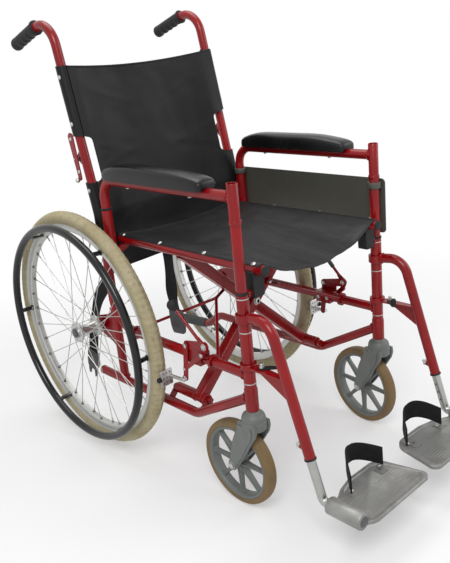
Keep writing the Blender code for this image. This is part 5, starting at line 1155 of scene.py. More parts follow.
def brake_shoe(side):
    x = LEVER_X
    low = (LINK_END[0] + 0.004, LINK_END[1] - 0.024)
    face = HUB_Y - sqrt(WHEEL_RADIUS ** 2 - (WHEEL_RADIUS - 0.262) ** 2) - 0.0080
    teeth = [(face - (0.0016 if k % 2 else 0.0), 0.243 + 0.038 * k / 19) for k in range(20)]
    outline = teeth + [(face - 0.0035, 0.2815), (face - 0.0045, 0.2800), (face - 0.0045, 0.2440),
                       (face - 0.0035, 0.2425)]
    paired("shoe_arm", [slab(bar_outline(SHOE_PIN, low, 0.0070, 0.0065), x - 0.0015, x + 0.0015)],
           "red_paint", "shoe", side)
    stub_y = low[0] + 0.001
    meshes = [
        rod((x - 0.001, stub_y, low[1]), (WHEEL_X - 0.010, stub_y, low[1]), 0.0045),
        rod((WHEEL_X - 0.013, low[0] - 0.0045, low[1] - 0.001),
            (WHEEL_X - 0.013, face - 0.002, 0.262), 0.0042),
        hex_nut((x + 0.0015, stub_y, low[1]), (x + 0.0052, stub_y, low[1]), 0.0072),
        hex_nut((x + 0.0016, *SHOE_PIN), (x + 0.0050, *SHOE_PIN), 0.0058),
        slab(outline, WHEEL_X - 0.017, WHEEL_X + 0.015, edge=0.0006)]
    paired("shoe", meshes, "zinc", "shoe", side, "brake_shoe")
    # dark grey discs on the shoe's back are painted shade, standing for the shadow in its holes
    hole_shade_discs = [rod((WHEEL_X + dx, face - 0.0049, 0.262 + dz),
                 (WHEEL_X + dx, face - 0.0044, 0.262 + dz), 0.0021, 16, 0.0002)
             for dx in (-0.010, -0.001, 0.008) for dz in (-0.012, 0.0, 0.012)]
    paired("shoe_hole_shade", hole_shade_discs, "dark_grey", "shoe", side)
    paired("shoe_tip", [turned(
        [(0.0030, WHEEL_X + 0.0145), (0.0058, WHEEL_X + 0.0155), (0.0060, WHEEL_X + 0.0215),
         (0.0040, WHEEL_X + 0.0240)], (0, face - 0.0030, 0.262), "X", 24, False)],
        "black_rubber", "shoe", side)


def brake_link(side):
    x = LEVER_X + 0.0033
    bar = slab(bar_outline(TAIL, LINK_END, 0.0060, 0.0050), x - 0.0012, x + 0.0012)
    paired("link_bar", [bar], "red_paint", "link", side, "brake_link")
    paired("link_rivet", [rod((x + 0.0010, *LINK_END), (x + 0.0026, *LINK_END), 0.0034)],
           "zinc", "link", side)


for side in SIDES:
    brake_bracket(side)
    brake_lever(side)
    brake_shoe(side)
    brake_link(side)
print("brakes pivot at z", LEVER_PIN[1], "and", SHOE_PIN[1])

# %% [markdown]
# ## The footrests
#
# A bent tube hooks over the front post on two collars, so that it can swing aside. A plated tube
# slides in it, held by a knob, and ends in the hinge of a cast plate. The plate flips up. A loop of
# webbing on it stops the heel from slipping back.

# %% Hangers, thumb latches and sliding posts
FOOT_Z, FOOT_CORNER = 0.105, hanger_y(0.105)
BARREL_REAR = FOOT_CORNER - 0.016
BARREL_FRONT = BARREL_REAR - 0.080


def hanger(side):
    x = HANGER_X
    corner = (x, POST_Y - 0.0707, 0.4545)
    path = rounded_path([(FRAME_X, POST_Y - POST - 0.003, 0.4485), corner,
                         (x, hanger_y(0.1885), 0.1885)], [0.042], 16)
    meshes = [sweep(path, TUBE)]
    inner, outer = POST + 0.0006, POST + 0.0051
    for z, tall in ((0.4465, 0.009), (0.343, 0.0063)):
        meshes.append(turned([(inner, z - tall), (outer - 0.0008, z - tall),
                              (outer, z - tall + 0.0008), (outer, z + tall - 0.0008),
                              (outer - 0.0008, z + tall), (inner, z + tall)],
                             (FRAME_X, POST_Y, 0), "Z", 48))
    front, rear = hanger_y(0.343), POST_Y - outer + 0.002
    meshes.append(slab([(FRAME_X - 0.011, rear), (FRAME_X + 0.012, rear),
                        (x + 0.007, front + 0.004), (x - 0.007, front + 0.004)],
                       0.341, 0.345, "XY"))
    low = 0.293
    meshes.append(slab([(POST_Y - outer - 0.006, 0.342), (front + 0.003, 0.342),
                        (hanger_y(low) + 0.003, low), (hanger_y(low) + 0.014, low + 0.006),
                        (POST_Y - outer - 0.020, 0.337)], x - 0.0020, x + 0.0020))
    meshes.append(weld((FRAME_X, POST_Y - outer - 0.0005, 0.4487), (0, 1, 0), TUBE, 0.0018))
    knob_z = 0.2065
    knob_y = hanger_y(knob_z)
    meshes.append(rod((x, knob_y + 0.008, knob_z + 0.002), (x, knob_y + 0.018, knob_z + 0.005),
                      0.0060))
    paired("hanger", meshes, "red_paint", "hanger", side, "footrest_hanger")
    paired("hanger_bolt", [
        hex_nut((x, knob_y + 0.0175, knob_z + 0.0049), (x, knob_y + 0.0235, knob_z + 0.0067),
                0.0074),
        rod((x, knob_y + 0.0230, knob_z + 0.0066), (x, knob_y + 0.0285, knob_z + 0.0081), 0.0030)],
        "zinc", "hanger", side)
    end = Vector((x, hanger_y(0.1885), 0.1885))
    run = Vector((0, hanger_y(0.18) - hanger_y(0.19), -0.01)).normalized()
    ferrule = sweep([end - run * 0.0035, end - run * 0.003, end + run * 0.0006,
                     end + run * 0.0014], [TUBE + 0.0002, TUBE + 0.0011, TUBE + 0.0011, 0.0098], 36)
    paired("hanger_ferrule", [ferrule], "black_rubber", "hanger", side)


def thumb_latch(side):
    z = 0.3453
    pivot, tip = (FRAME_X - 0.001, POST_Y - 0.037), (FRAME_X - 0.024, POST_Y - 0.062)
    lever = slab(bar_outline(pivot, tip, 0.0075, 0.0050), z, z + 0.003, "XY", 0.0006)
    tongue = turned([(0.0030, 0.001), (0.0052, 0.0022), (0.0058, 0.004), (0.0058, 0.0060),
                     (0.0052, 0.0068), (0.0052, 0.0080), (0.0058, 0.0088), (0.0058, 0.0110),
                     (0.0052, 0.0118), (0.0052, 0.0130), (0.0058, 0.0138), (0.0056, 0.0165),
                     (0.0044, 0.0184), (0.0020, 0.0190)], (tip[0], tip[1], z), "Z", 28, False)
    paired("thumb_lever", [lever, tongue], "black_rubber", "thumb", side, "hanger_latch")
    paired("thumb_stud", [rod((*pivot, z + 0.001), (*pivot, z + 0.0125), 0.0042),
                          hex_nut((*pivot, z + 0.0030), (*pivot, z + 0.0072), 0.0064)],
           "zinc", "thumb", side)


def sliding_post(side):
    x = HANGER_X
    path = rounded_path([(x, hanger_y(0.315), 0.315), (x, FOOT_CORNER, FOOT_Z),
                         (x, BARREL_FRONT + 0.006, FOOT_Z)], [0.013], 12)
    paired("sliding_post", [sweep(path, 0.0092, 36)], "chrome", "post", side, "footrest_post")
    # dark grey discs on the post's inner side are painted shade, standing for the shadow in its
    # adjustment holes
    marks = [rod((x - 0.00935, hanger_y(z), z), (x - 0.0085, hanger_y(z), z), 0.0024, 16, 0.0002)
             for z in (0.168, 0.150, 0.132)]
    paired("post_hole_shade", marks, "dark_grey", "post", side)


for side in SIDES:
    hanger(side)
    thumb_latch(side)
    sliding_post(side)
print("footrest posts bend at y", round(FOOT_CORNER, 4))

# %% [markdown]
# ## Cast footplates and heel loops
#
# The plate is cast with a raised border and a sunken tread. Its skin is grainy, with patches
# polished bright by wear. The tread gets low ribs, drawn as real ridges because light rakes across
# them.

# %% Footplates
PLATE_TOP, PLATE_FRONT, PLATE_REAR = 0.101, HUB_Y - 0.832, HUB_Y - 0.712


def plate_outline(inset=0.0, fine=10):
    front, rear = PLATE_FRONT + inset, PLATE_REAR - inset
    inner, outer = 0.0130 + inset, HANGER_X - 0.0099 - inset * 0.3
    return arc((inner + 0.016, front + 0.018), 0.0170, 185, 262, fine) + \
        [(outer - 0.020, front), (outer - 0.010, front + 0.003), (outer, front + 0.010),
         (outer, BARREL_REAR - 0.004 - inset), (outer - 0.045, rear - 0.010),
         (outer - 0.085, rear)] + arc((inner + 0.050, rear - 0.034), 0.0340, 88, 170, fine)


def plate_ring(points, z):
    return [Vector((u, v, z)) for u, v in points]


def footplate(side):
    x, name, top = HANGER_X, SIDES[side], PLATE_TOP
    low, floor = top - 0.0085, top - 0.002
    outer, rim_in = plate_outline(), plate_outline(0.0080)
    slim = plate_outline(0.0008)
    plate = skin([plate_ring(slim, low), plate_ring(outer, low + 0.0008),
                  plate_ring(outer, top - 0.0008), plate_ring(slim, top),
                  plate_ring(plate_outline(0.0072), top), plate_ring(rim_in, top - 0.0006),
                  plate_ring(plate_outline(0.0092), floor)])
    barrel = turned([(0.0150, BARREL_FRONT), (0.0168, BARREL_FRONT + 0.0006),
                     (0.0180, BARREL_FRONT + 0.0030), (0.0180, BARREL_REAR - 0.0030),
                     (0.0168, BARREL_REAR - 0.0006), (0.0110, BARREL_REAR)],
                    (x, 0, FOOT_Z), "Y", 48, False)
    pads = [slab(oblong(u - 0.011, PLATE_REAR - 0.045, u + 0.011, PLATE_REAR - 0.022),
                 floor - 0.001, top - 0.0001, "XY") for u in (0.062, 0.160)]
    ribs = []
    for k in range(9):
        v = PLATE_FRONT + 0.0165 + 0.0065 * k
        ribs.append(skin([
            plate_ring(oblong(0.0340, v - 0.0011, 0.2000, v + 0.0011), floor - 0.0005),
            plate_ring(oblong(0.0346, v - 0.0004, 0.1994, v + 0.0004), floor + 0.0006)]))
    under = [slab(oblong(u - 0.0015, PLATE_FRONT + 0.012, u + 0.0015, PLATE_REAR - 0.014),
                  low - 0.004, low + 0.002, "XY") for u in (0.073, 0.138)]
    piece("footplate_" + name + "_cast", [plate, barrel, *pads, *ribs, *under], "cast_aluminium",
          "plate_" + name, side, ["footplate_" + name])
    paired("barrel_plug", [turned(
        [(0.0085, BARREL_FRONT - 0.0012), (0.0105, BARREL_FRONT - 0.0008),
         (0.0110, BARREL_FRONT + 0.0004)], (x, 0, FOOT_Z), "Y", 32, False),
        rod((0.0625, PLATE_REAR - 0.030, top - 0.001),
            (0.0625, PLATE_REAR - 0.030, top + 0.0001), 0.004)], "dark_grey", "plate", side)


# across and along a strap on edge, with a bulge on one face
LOOP_SECTION = [(-0.6, 0.0), (0.6, 0.0), (1, 0.02), (1, 0.25), (1.15, 0.5), (1, 0.75), (1, 0.98),
                (0.6, 1), (-0.6, 1), (-1, 0.98), (-1, 0.75), (-0.85, 0.5), (-1, 0.25), (-1, 0.02)]


def heel_loop(side):
    """It leaves one foot, bows back behind the heel and comes down at the other."""
    outer, inner = 0.164, 0.044
    feet_y, run = PLATE_REAR - 0.036, inner - outer
    rings = []
    for k in range(61):
        t = k / 60
        bow = sin(pi * t)
        along = Vector((run, 0.044 * pi * cos(pi * t), 0)).normalized()
        out = Vector((-along.y, along.x, 0)) * 0.0016
        here = Vector((outer + run * t, feet_y + 0.010 * t + 0.044 * bow,
                       PLATE_TOP + 0.0003 + 0.020 * bow + 0.006 * max(0.0, sin(2 * pi * t))))
        ring = []
        for u, v in LOOP_SECTION:
            curl = 0.0015 * sin(2 * pi * t + 0.6) * (v - 0.5)
            ring.append(here + out * u + Vector((0, curl, 0.041 * v)))
        rings.append(ring)
    paired("heel_strap", [skin(rings)], "webbing", "plate", side, "heel_loop", "black_vinyl")
    feet = [turned([(0.0045, 0.0), (0.0045, 0.0012), (0.0032, 0.0022), (0.0008, 0.0026)],
                   (u, feet_y + back_by, PLATE_TOP), "Z", 24, False)
            for u, back_by in ((outer - 0.0078, 0.0060), (inner + 0.0078, 0.0150))]
    paired("heel_screws", feet, "zinc", "plate", side)


for side in SIDES:
    footplate(side)
    heel_loop(side)
print("footplates", round((PLATE_REAR - PLATE_FRONT) * 1000), "mm deep")

# %% [markdown]
# ## The armrests
#
# A bent tube drops into two sockets and can be lifted out. Its pad is moulded foam with a vinyl
# skin, crowned along its top. A loft of rounded sections gives the crown, and one subdivision
# makes it even. The left side also carries a board that keeps clothes off the wheel.

# %% Arm tubes and pads
def armrest(side):
    x = FRAME_X
    rail = rounded_path([(x, POST_Y, ARM_RAIL_Z), (x, ARM_REAR_Y, ARM_RAIL_Z),
                         (x, ARM_REAR_Y, 0.585)], [0.045], 16)
    leg = turned([(0.0108, 0.4634), (TUBE, 0.4640), (TUBE, 0.7133), (0.0105, 0.7141),
                  (0.0095, 0.7138), (0.0095, 0.7062)], (x, POST_Y, 0), "Z", 40, False)
    collar = turned([(TUBE - 0.001, 0.6347), (0.0122, 0.6349), (POST, 0.6357), (POST, 0.6421),
                     (0.0122, 0.6429), (TUBE - 0.001, 0.6431)], (x, POST_Y, 0), "Z", 40, False)
    paired("arm_tube", [leg, sweep(rail, TUBE), collar,
                        weld((x, POST_Y + TUBE, ARM_RAIL_Z), (0, 1, 0), TUBE, 0.0018)],
           "red_paint", "armrest", side, "armrest_frame")
    screws = [turned([(0.0042, 0.0), (0.0042, -0.0012), (0.0028, -0.0024), (0.0006, -0.0028)],
                     (x, HUB_Y - d, ARM_RAIL_Z - TUBE), "Z", 20, False) for d in (0.21, 0.42)]
    paired("arm_screws", screws, "zinc", "armrest", side)


PAD_HALF, PAD_TALL = 0.026, 0.037
PAD_STATIONS = [(0.000, 0.80, 0.48, 0.06), (0.008, 0.90, 0.60, 0.02), (0.030, 0.95, 0.71, 0.0),
                (0.08, 0.98, 0.84, 0.0), (0.14, 1.00, 0.93, 0.0), (0.20, 1.00, 0.98, 0.0),
                (0.35, 1.00, 1.00, 0.0), (0.50, 1.00, 1.00, 0.0), (0.62, 1.00, 0.985, 0.0),
                (0.72, 1.00, 0.95, 0.0), (0.80, 1.00, 0.89, 0.0), (0.90, 0.98, 0.78, 0.0),
                (0.955, 0.96, 0.70, 0.0), (0.985, 0.92, 0.60, 0.01), (1.0, 0.84, 0.46, 0.05)]
PAD_SECTION = [(-0.90, 0.0), (-0.97, 0.02), (-1.0, 0.08), (-1.0, 0.16), (-0.985, 0.19),
               (-1.0, 0.22), (-1.0, 0.52), (-0.97, 0.68), (-0.90, 0.80), (-0.78, 0.89),
               (-0.60, 0.955), (-0.30, 0.99), (0.0, 1.0)]


def arm_pad(side):
    base = ARM_RAIL_Z + TUBE - 0.0055
    rear, front = HUB_Y - 0.145, HUB_Y - 0.478
    section = PAD_SECTION + [(-u, v) for u, v in reversed(PAD_SECTION[:-1])]
    rings = []
    for place, width, top, lift in PAD_STATIONS:
        y = rear + (front - rear) * place
        dip = 0.0012 * sin(9 * place + side) * sin(pi * place)
        rings.append([Vector((FRAME_X + u * width * PAD_HALF, y,
                              base + PAD_TALL * (lift + v * (top - lift)) + dip * v))
                      for u, v in section])
    pad = paired("pad", [skin(rings)], "pad_vinyl", "armrest", side,
                 "arm_pad", "black_vinyl", smooth=60)
    smoother = pad.modifiers.new("smoother", "SUBSURF")
    smoother.levels = smoother.render_levels = 1


def guard():
    rear, front, c = HUB_Y - 0.100, HUB_Y - 0.565, 0.010
    corners = [(rear - c, 0.633 - c), (front + c, 0.633 - c), (front + c, 0.506 + c),
               (rear - c, 0.506 + c)]
    outline = [p for k, place in enumerate(corners)
               for p in arc(place, c, 90 * k, 90 * k + 90, 10)]
    clips = [turned([(TUBE + 0.0005, z - 0.007), (0.0145, z - 0.007), (0.0150, z - 0.006),
                     (0.0150, z + 0.006), (0.0145, z + 0.007), (TUBE + 0.0005, z + 0.007)],
                    (FRAME_X, y, 0), "Z", 40) for y, z in ((POST_Y, 0.620), (ARM_REAR_Y, 0.625))]
    piece("guard_board", [slab(outline, 0.2310, 0.2330, edge=0.0007), *clips], "guard_board",
          "armrest_left", replaces=["skirt_guard_left"])
    heads = [turned([(0.0044, 0.0), (0.0044, 0.0010), (0.0030, 0.0020), (0.0006, 0.0023)],
                    (0.2330, y, z), "X", 20, False) for y, z in
             ((POST_Y, 0.620), (ARM_REAR_Y, 0.625), (POST_Y, 0.520), (ARM_REAR_Y, 0.520))]
    piece("guard_screws", heads, "zinc", "armrest_left")


for side in SIDES:
    armrest(side)
    arm_pad(side)
guard()
print("arm pads 333 mm long, 37 mm high")

# %% [markdown]
# ## Back canes, grips and latches
#
# The upper half of each back post bends over into a push handle and folds back at a pinned joint. A
# flat lever outside it lets the joint go. The grips are rubber with scallops for the fingers, cut
# by a cosine along their underside.

# %% Canes and latches
PIN_Y = back_y(BACK_JOINT_Z) + 0.025
HANDLE_CORNER = (HUB_Y + 0.0047, 1.0485)


def cane(side):
    x, base = FRAME_X, BACK_JOINT_Z
    end_y = HUB_Y + 0.1725
    end = (x, end_y, HANDLE_CORNER[1] - (end_y - HANDLE_CORNER[0]) * 0.303)
    path = rounded_path([(x, back_y(base), base), (x, *HANDLE_CORNER), end], [0.058], 20)
    meshes = [sweep(path, TUBE)]
    for s in (1, -1):
        mid = x + s * 0.0034
        meshes.append(slab(bar_outline((back_y(base + 0.022), base + 0.018), (PIN_Y, base), 0.0080,
                                       0.0070), mid - 0.0012, mid + 0.0012))
    paired("cane", meshes, "red_paint", "back", side, "back_cane")
    paired("hinge_pin", [
        rod((x - 0.0060, PIN_Y, base), (x + 0.0168, PIN_Y, base), 0.0029),
        hex_nut((x - 0.0085, PIN_Y, base), (x - 0.0050, PIN_Y, base), 0.0056)],
        "zinc", "back", side)


def back_latch(side):
    x = FRAME_X + 0.0135
    top, foot = (back_y(0.783) + 0.0185, 0.783), (back_y(0.690) + 0.0215, 0.690)
    knob = mirrored([(0.0012, -0.0058), (0.0034, -0.0050), (0.0050, -0.0030), (0.0058, 0.0)])
    plate = slab(bar_outline(top, foot, 0.0105, 0.0070), x - 0.0012, x + 0.0012)
    paired("latch_plate", [plate], "red_paint", "latch", side, "back_latch")
    rivets = [turned([(0.0044, 0.0), (0.0040, 0.0012), (0.0020, 0.0022), (0.0005, 0.0024)],
                     (x + 0.0011, y, z), "X", 24, False)
              for y, z in ((top[0], top[1] - 0.004), (foot[0], foot[1] + 0.014))]
    ball_end = turned(knob, (x + 0.0044, foot[0] + 0.0060, foot[1] - 0.0060), "Z", 24, False)
    paired("latch_rivets", [*rivets, ball_end], "zinc", "latch", side)


def grip(side):
    start, end = HUB_Y + 0.0669, HUB_Y + 0.1765
    tilt, length = atan(0.303), end - start
    rings = []
    for k in range(111):
        t = k / 110
        y = start + length * t
        z = HANDLE_CORNER[1] - (y - HANDLE_CORNER[0]) * 0.303
        size = 1.0 + 0.16 * max(0.0, 1 - abs(t - 0.022) / 0.030) ** 0.5
        size += 0.035 * max(0.0, 1 - abs(t - 0.93) / 0.03)
        size *= sqrt(max(0.02, 1 - (max(0.0, t - 0.962) / 0.040) ** 2)) if t > 0.962 else 1.0
        size *= 0.93 if k == 0 else 1.0
        groove = 0.15 * (0.5 - 0.5 * cos(2 * pi * (t - 0.12) / 0.19)) if 0.12 < t < 0.88 else 0.0
        ring = []
        for j in range(40):
            a = 2 * pi * j / 40
            under = max(0.0, -sin(a)) ** 0.8
            rib = 0.012 if 0.10 < t < 0.90 and k % 3 == 0 and sin(a) > -0.15 else 0.0
            r = 0.0152 * (size - groove * under - rib)
            ring.append(Vector((FRAME_X + r * cos(a), y + r * sin(a) * sin(tilt),
                                z + r * sin(a) * cos(tilt))))
        rings.append(ring)
    paired("grip", [skin(rings)], "black_rubber", "back", side, "push_grip", smooth=60)


for side in SIDES:
    cane(side)
    back_latch(side)
    grip(side)
print("handles", round(HANDLE_CORNER[1], 3), "m high at their corner")

# %% [markdown]
# ## The seat
#
# The seat is one sheet of vinyl, wrapped over both rails and screwed down. It hangs between them
# and is lowest at the front, where legs have stretched it. Its shape is a formula: a sagging curve,
# a few long creases that run from the screws, and a rolled hem at the front and the rear. The
# rails and their screws turn with the two braces; the sheet itself is not attached to either.

# %% Sheet helpers
VINYL = 0.0016


def sheet_mesh(rows, thickness):
    """A closed sheet from rows of points, offset along the surface's own normals."""
    count, length = len(rows), len(rows[0])
    faces_up, faces_down = [], []
    for i in range(count):
        up_row, down_row = [], []
        for j in range(length):
            du = rows[i][min(j + 1, length - 1)] - rows[i][max(j - 1, 0)]
            dv = rows[min(i + 1, count - 1)][j] - rows[max(i - 1, 0)][j]
            normal = du.cross(dv).normalized() * thickness / 2
            up_row.append(rows[i][j] + normal)
            down_row.append(rows[i][j] - normal)
        faces_up.append(up_row)
        faces_down.append(down_row)
    return skin([a + list(reversed(b)) for a, b in zip(faces_up, faces_down)])


def row_length(points):
    return sum((b - a).length for a, b in zip(points, points[1:]))


def stitch_line(points, normals, pitch=0.0042, long=0.0027, thick=0.00034):
    """Little capsules of thread laid along a line, one for each stitch."""
    made, walked, last = [], 0.0, points[0]
    for here, normal in zip(points[1:], normals[1:]):
        walked += (here - last).length
        if walked >= pitch:
            run = (here - last).normalized() * long / 2
            lift = normal.normalized() * thick * 0.7
            made.append(sweep([here - run + lift * 0.2, here - run * 0.6 + lift,
                               here + run * 0.6 + lift, here + run + lift * 0.2],
                              [thick * 0.5, thick, thick, thick * 0.5], 5))
            walked = 0.0
        last = here
    return made


def stitched(line, normal):
    """Stitches along a row of points, standing on the sheet's face."""
    return stitch_line([p + normal * (VINYL / 2) for p in line], [normal] * len(line))


def sheet_screw(washer, head, place, out):
    """A domed head on a cupped washer."""
    return aimed([turned(washer, (0, 0, 0), "Z", 28), turned(head, (0, 0, 0), "Z", 24, False)],
                 place, out)


def fold_noise(x, y, scale, seed):
    return noise.noise(Vector((x * scale, y * scale, seed)))


def grow(points, steps):
    """A finer row of points through the given ones."""
    fine = []
    for a, b in zip(points, points[1:]):
        fine += [a.lerp(b, k / steps) for k in range(steps)]
    return fine + [points[-1]]


print("sheet helpers ready")

# %% Seat sling
WRAP = TUBE + 0.0006 + VINYL / 2
SEAT_SCREWS = [HUB_Y - d for d in (0.120, 0.258, 0.407, 0.552)]
SEAT_FRONT_Y, SEAT_REAR_Y = SEAT_RAIL_FRONT + 0.006, SEAT_RAIL_REAR - 0.006


def seat_height(u, t):
    """Drop below the rails' top at u across (-1 to 1) and t from rear (0) to front (1)."""
    sag = 0.014 + 0.034 * t ** 1.8
    drop = sag * (1 - abs(u) ** 2.2)
    wave = 0.0012 * (0.35 + t) * sin(3.2 * pi * u + 1.2 + 0.9 * t) * (1 - u ** 4)
    crease = 0.0
    for k, screw in enumerate(SEAT_SCREWS):
        place = (SEAT_REAR_Y - screw) / (SEAT_REAR_Y - SEAT_FRONT_Y)
        for way in (1, -1):
            away = 1 - way * u
            drift = place + 0.10 * away * (1 if k < 2 else -0.7)
            crease += 0.0017 * max(0.0, 1 - away / 0.75) * (away / 0.12 if away < 0.12 else 1) * \
                2.718 ** (-((t - drift) / 0.035) ** 2)
    crumple = 0.0016 * fold_noise(u * 2.2, t * 3.4, 2.4, 3.1) * (1 - u ** 6)
    crumple += 0.0007 * fold_noise(u * 5.0 + t, t * 3.0, 4.2, 8.6) * (1 - u ** 6)
    return drop + wave - crease + crumple


def seat_row(t, turns):
    y = SEAT_REAR_Y + (SEAT_FRONT_Y - SEAT_REAR_Y) * t
    edge = [Vector((SEAT_RAIL_X + WRAP * cos(a), y, SEAT_RAIL_Z + WRAP * sin(a))) for a in turns]
    middle = []
    for k in range(1, 72):
        u = 1 - 2 * k / 72
        middle.append(Vector((u * SEAT_RAIL_X * 0.985, y, SEAT_RAIL_Z + WRAP - seat_height(u, t))))
    return edge + middle + [Vector((-p.x, p.y, p.z)) for p in reversed(edge)]


turns = [radians(44 + (104 - 44) * k / 10) for k in range(11)]
seat_rows = [seat_row(k / 76, turns) for k in range(77)]
seat = piece("seat_vinyl", [sheet_mesh(seat_rows, VINYL)], "seat_vinyl", None,
             replaces=["seat_sling"], slot="black_vinyl", smooth=60)
seat_width = row_length(seat_rows[38])

# %% Seat hems, stitching and screws
hems = []
for index in (0, -1):
    y_in = 0.0028 if index else -0.0028
    line = [p + Vector((0, y_in, -0.0004)) for p in seat_rows[index]]
    hems.append(sweep(line, [0.0013] + [0.0024] * (len(line) - 2) + [0.0013], 14))
seat_hems = piece("seat_hems", hems, "seat_vinyl", None, slot="black_vinyl", smooth=60)

threads = []
for row in (3, 73, 70):
    threads += stitched(grow(seat_rows[row], 4), Vector((0, 0, 1)))
for column in (9, len(seat_rows[0]) - 10):
    threads += stitched(grow([row[column] for row in seat_rows[3:-3]], 5), Vector((0, 0, 1)))
MATERIALS["thread"] = rubber("thread", (0.030, 0.030, 0.031), (0.055, 0.054, 0.052), 0.7)
seat_threads = piece("seat_stitches", threads, "thread", None, slot="black_vinyl")

for made in (seat, seat_hems, seat_threads):
    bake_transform(made)

washer = [(0.0018, 0.0), (0.0050, 0.0), (0.0052, 0.0004), (0.0045, 0.0010), (0.0018, 0.0011)]
head = [(0.0034, 0.0008), (0.0034, 0.0014), (0.0026, 0.0022), (0.0008, 0.0026)]
lean = radians(66)
for way, body in ((1, "brace_front"), (-1, "brace_rear")):
    screws = []
    for y in SEAT_SCREWS:
        out = Vector((way * cos(lean), 0, sin(lean)))
        foot = Vector((way * SEAT_RAIL_X, y, SEAT_RAIL_Z)) + out * (WRAP + VINYL / 2 - 0.0002)
        screws += sheet_screw(washer, head, foot, out)
    piece("seat_screws_" + SIDES[way], screws, "zinc", body)
print(len(SEAT_SCREWS), "screws along each rail")

# %% [markdown]
# ## The back
#
# The back is vinyl too, with a sewn sleeve round each post. The canes fold back at a joint, so the
# sleeves stop above and below it, and the sheet is made as a lower and an upper panel that lap
# there. The lower panel rides on the right side frame and the upper one on the right cane; a patch
# behind the lap covers the joint on each side.

# %% Back sling
SLING_TOP, SLING_BASE, LAP_Z = 0.9411, 0.465, BACK_JOINT_Z
CANE_WRAP = (TUBE + 0.0010) * 1.018 + VINYL / 2


# long creases run inwards and down from the folding joints and from the top corners: where each
# starts at the post, its slope and its height
BACK_CREASES = [(0.770, 0.30, 0.0020), (0.700, -0.22, 0.0018), (0.905, 0.36, 0.0018),
                (0.735, 0.04, 0.0012), (0.560, -0.25, 0.0012)]


def back_depth(u, z):
    """How far the sheet hangs behind the posts' front, at u across and a height."""
    high = max(0.0, min(1.0, (z - SLING_BASE) / (SLING_TOP - SLING_BASE)))
    sag = 0.012 + 0.020 * sin(pi * high)
    wave = 0.0012 * sin(2.6 * pi * u + 6 * z) * (1 - u ** 4)
    crease = 0.0
    for way in (1, -1):
        for start, slope, size in BACK_CREASES:
            away = (1 - way * u) * FRAME_X
            line = start - slope * away
            fade = max(0.0, 1 - away / 0.19) * min(1.0, away / 0.018)
            crease += size * fade * 2.718 ** (-((z - line) / 0.0085) ** 2)
    crumple = 0.0013 * fold_noise(u * 1.6, z * 7.0, 1.6, 5.2) * (1 - u ** 6)
    crumple += 0.0009 * fold_noise(u * 4.0 + 2 * z, z * 18.0, 1.4, 9.4) * (1 - u ** 6)
    # beside each post it lies flat, so that it clears the post when the chair is folded
    free = max(0.0, min(1.0, ((1 - abs(u)) * FRAME_X - 0.022) / 0.060))
    return (sag * (1 - abs(u) ** 2.4) + wave - crease + crumple) * free * (2 - free)


def top_dip(u, z, top):
    """The upper hem hangs a little between the posts."""
    return -0.012 * (1 - u * u) * max(0.0, min(1.0, (z - 0.80) / (top - 0.80)))


def back_panel_rows(low, high, count):
    rows = []
    edge = FRAME_X - CANE_WRAP * 0.26
    for i in range(count + 1):
        z = low + (high - low) * i / count
        row = []
        for k in range(85):
            u = 1 - 2 * k / 84
            reach = min(1.0, abs(z - LAP_Z + 0.0015) / 0.0525)
            waist = (0.030 if u > 0 else 0.018) * (1 - reach ** 16)
            flare = 0.032 * max(0.0, 1 - (z - SLING_BASE) / 0.060) ** 0.5 if z < 0.525 else 0.0
            wide = edge - max(waist, flare)
            x = u * wide
            share = x / edge
            dip = top_dip(share, z, SLING_TOP)
            y = back_y(z) - CANE_WRAP - 0.0025 + back_depth(share, z)
            row.append(Vector((x, y, z + dip)))
        rows.append(row)
    return rows


def back_sleeve(side, low, high, body, tag):
    """Round the post from its front, past its outer side and rear, to its inner side."""
    rows = []
    for i in range(25):
        z = low + (high - low) * i / 24
        row = []
        for k in range(31):
            a = radians(-106 + 306 * k / 30)
            swell = 1 + 0.020 * fold_noise(k * 0.13, z * 11, 2.0, side * 4.0 + low)
            reach = CANE_WRAP * swell + 0.0006
            top = top_dip(1.0, z, SLING_TOP)
            row.append(Vector((FRAME_X + reach * cos(a), back_y(z) + reach * sin(a), z + top)))
        rows.append(row)
    name = "back_sleeve_" + tag + "_" + SIDES[side]
    sleeve = piece(name, [sheet_mesh(rows, VINYL)], "black_vinyl", body, side, smooth=60)
    row_length(rows[12])
    return rows


lower_rows = back_panel_rows(SLING_BASE, LAP_Z + 0.004, 60)
upper_rows = back_panel_rows(LAP_Z - 0.004, SLING_TOP, 50)


def hang(name, rows, body, hem_rows, stitch_rows, replaced=()):
    panel = piece(name, [sheet_mesh(rows, VINYL)], "black_vinyl", body, replaces=replaced,
                  smooth=60)
    hem_lines = []
    for index in hem_rows:
        inward = rows[index + 1] if index == 0 else rows[index - 1]
        step = 0.0024
        line = [a + (b - a).normalized() * step for a, b in zip(rows[index], inward)]
        hem_lines.append(sweep(line, [0.0012] + [0.0022] * (len(line) - 2) + [0.0012], 14))
    extras = []
    if hem_lines:
        extras.append(piece(name + "_hem", hem_lines, "black_vinyl", body, smooth=60))
    sewn = []
    for index in stitch_rows:
        sewn += stitched(grow(rows[index], 3), Vector((0, -1, 0)))
    for column in (3, len(rows[0]) - 4):
        sewn += stitched(grow([row[column] for row in rows[2:-2]], 4), Vector((0, -1, 0)))
    extras.append(piece(name + "_stitches", sewn, "thread", body, slot="black_vinyl"))
    widths, length = [row_length(row) for row in rows], row_length([row[42] for row in rows])
    for made in [panel, *extras]:
        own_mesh(made)
    return panel


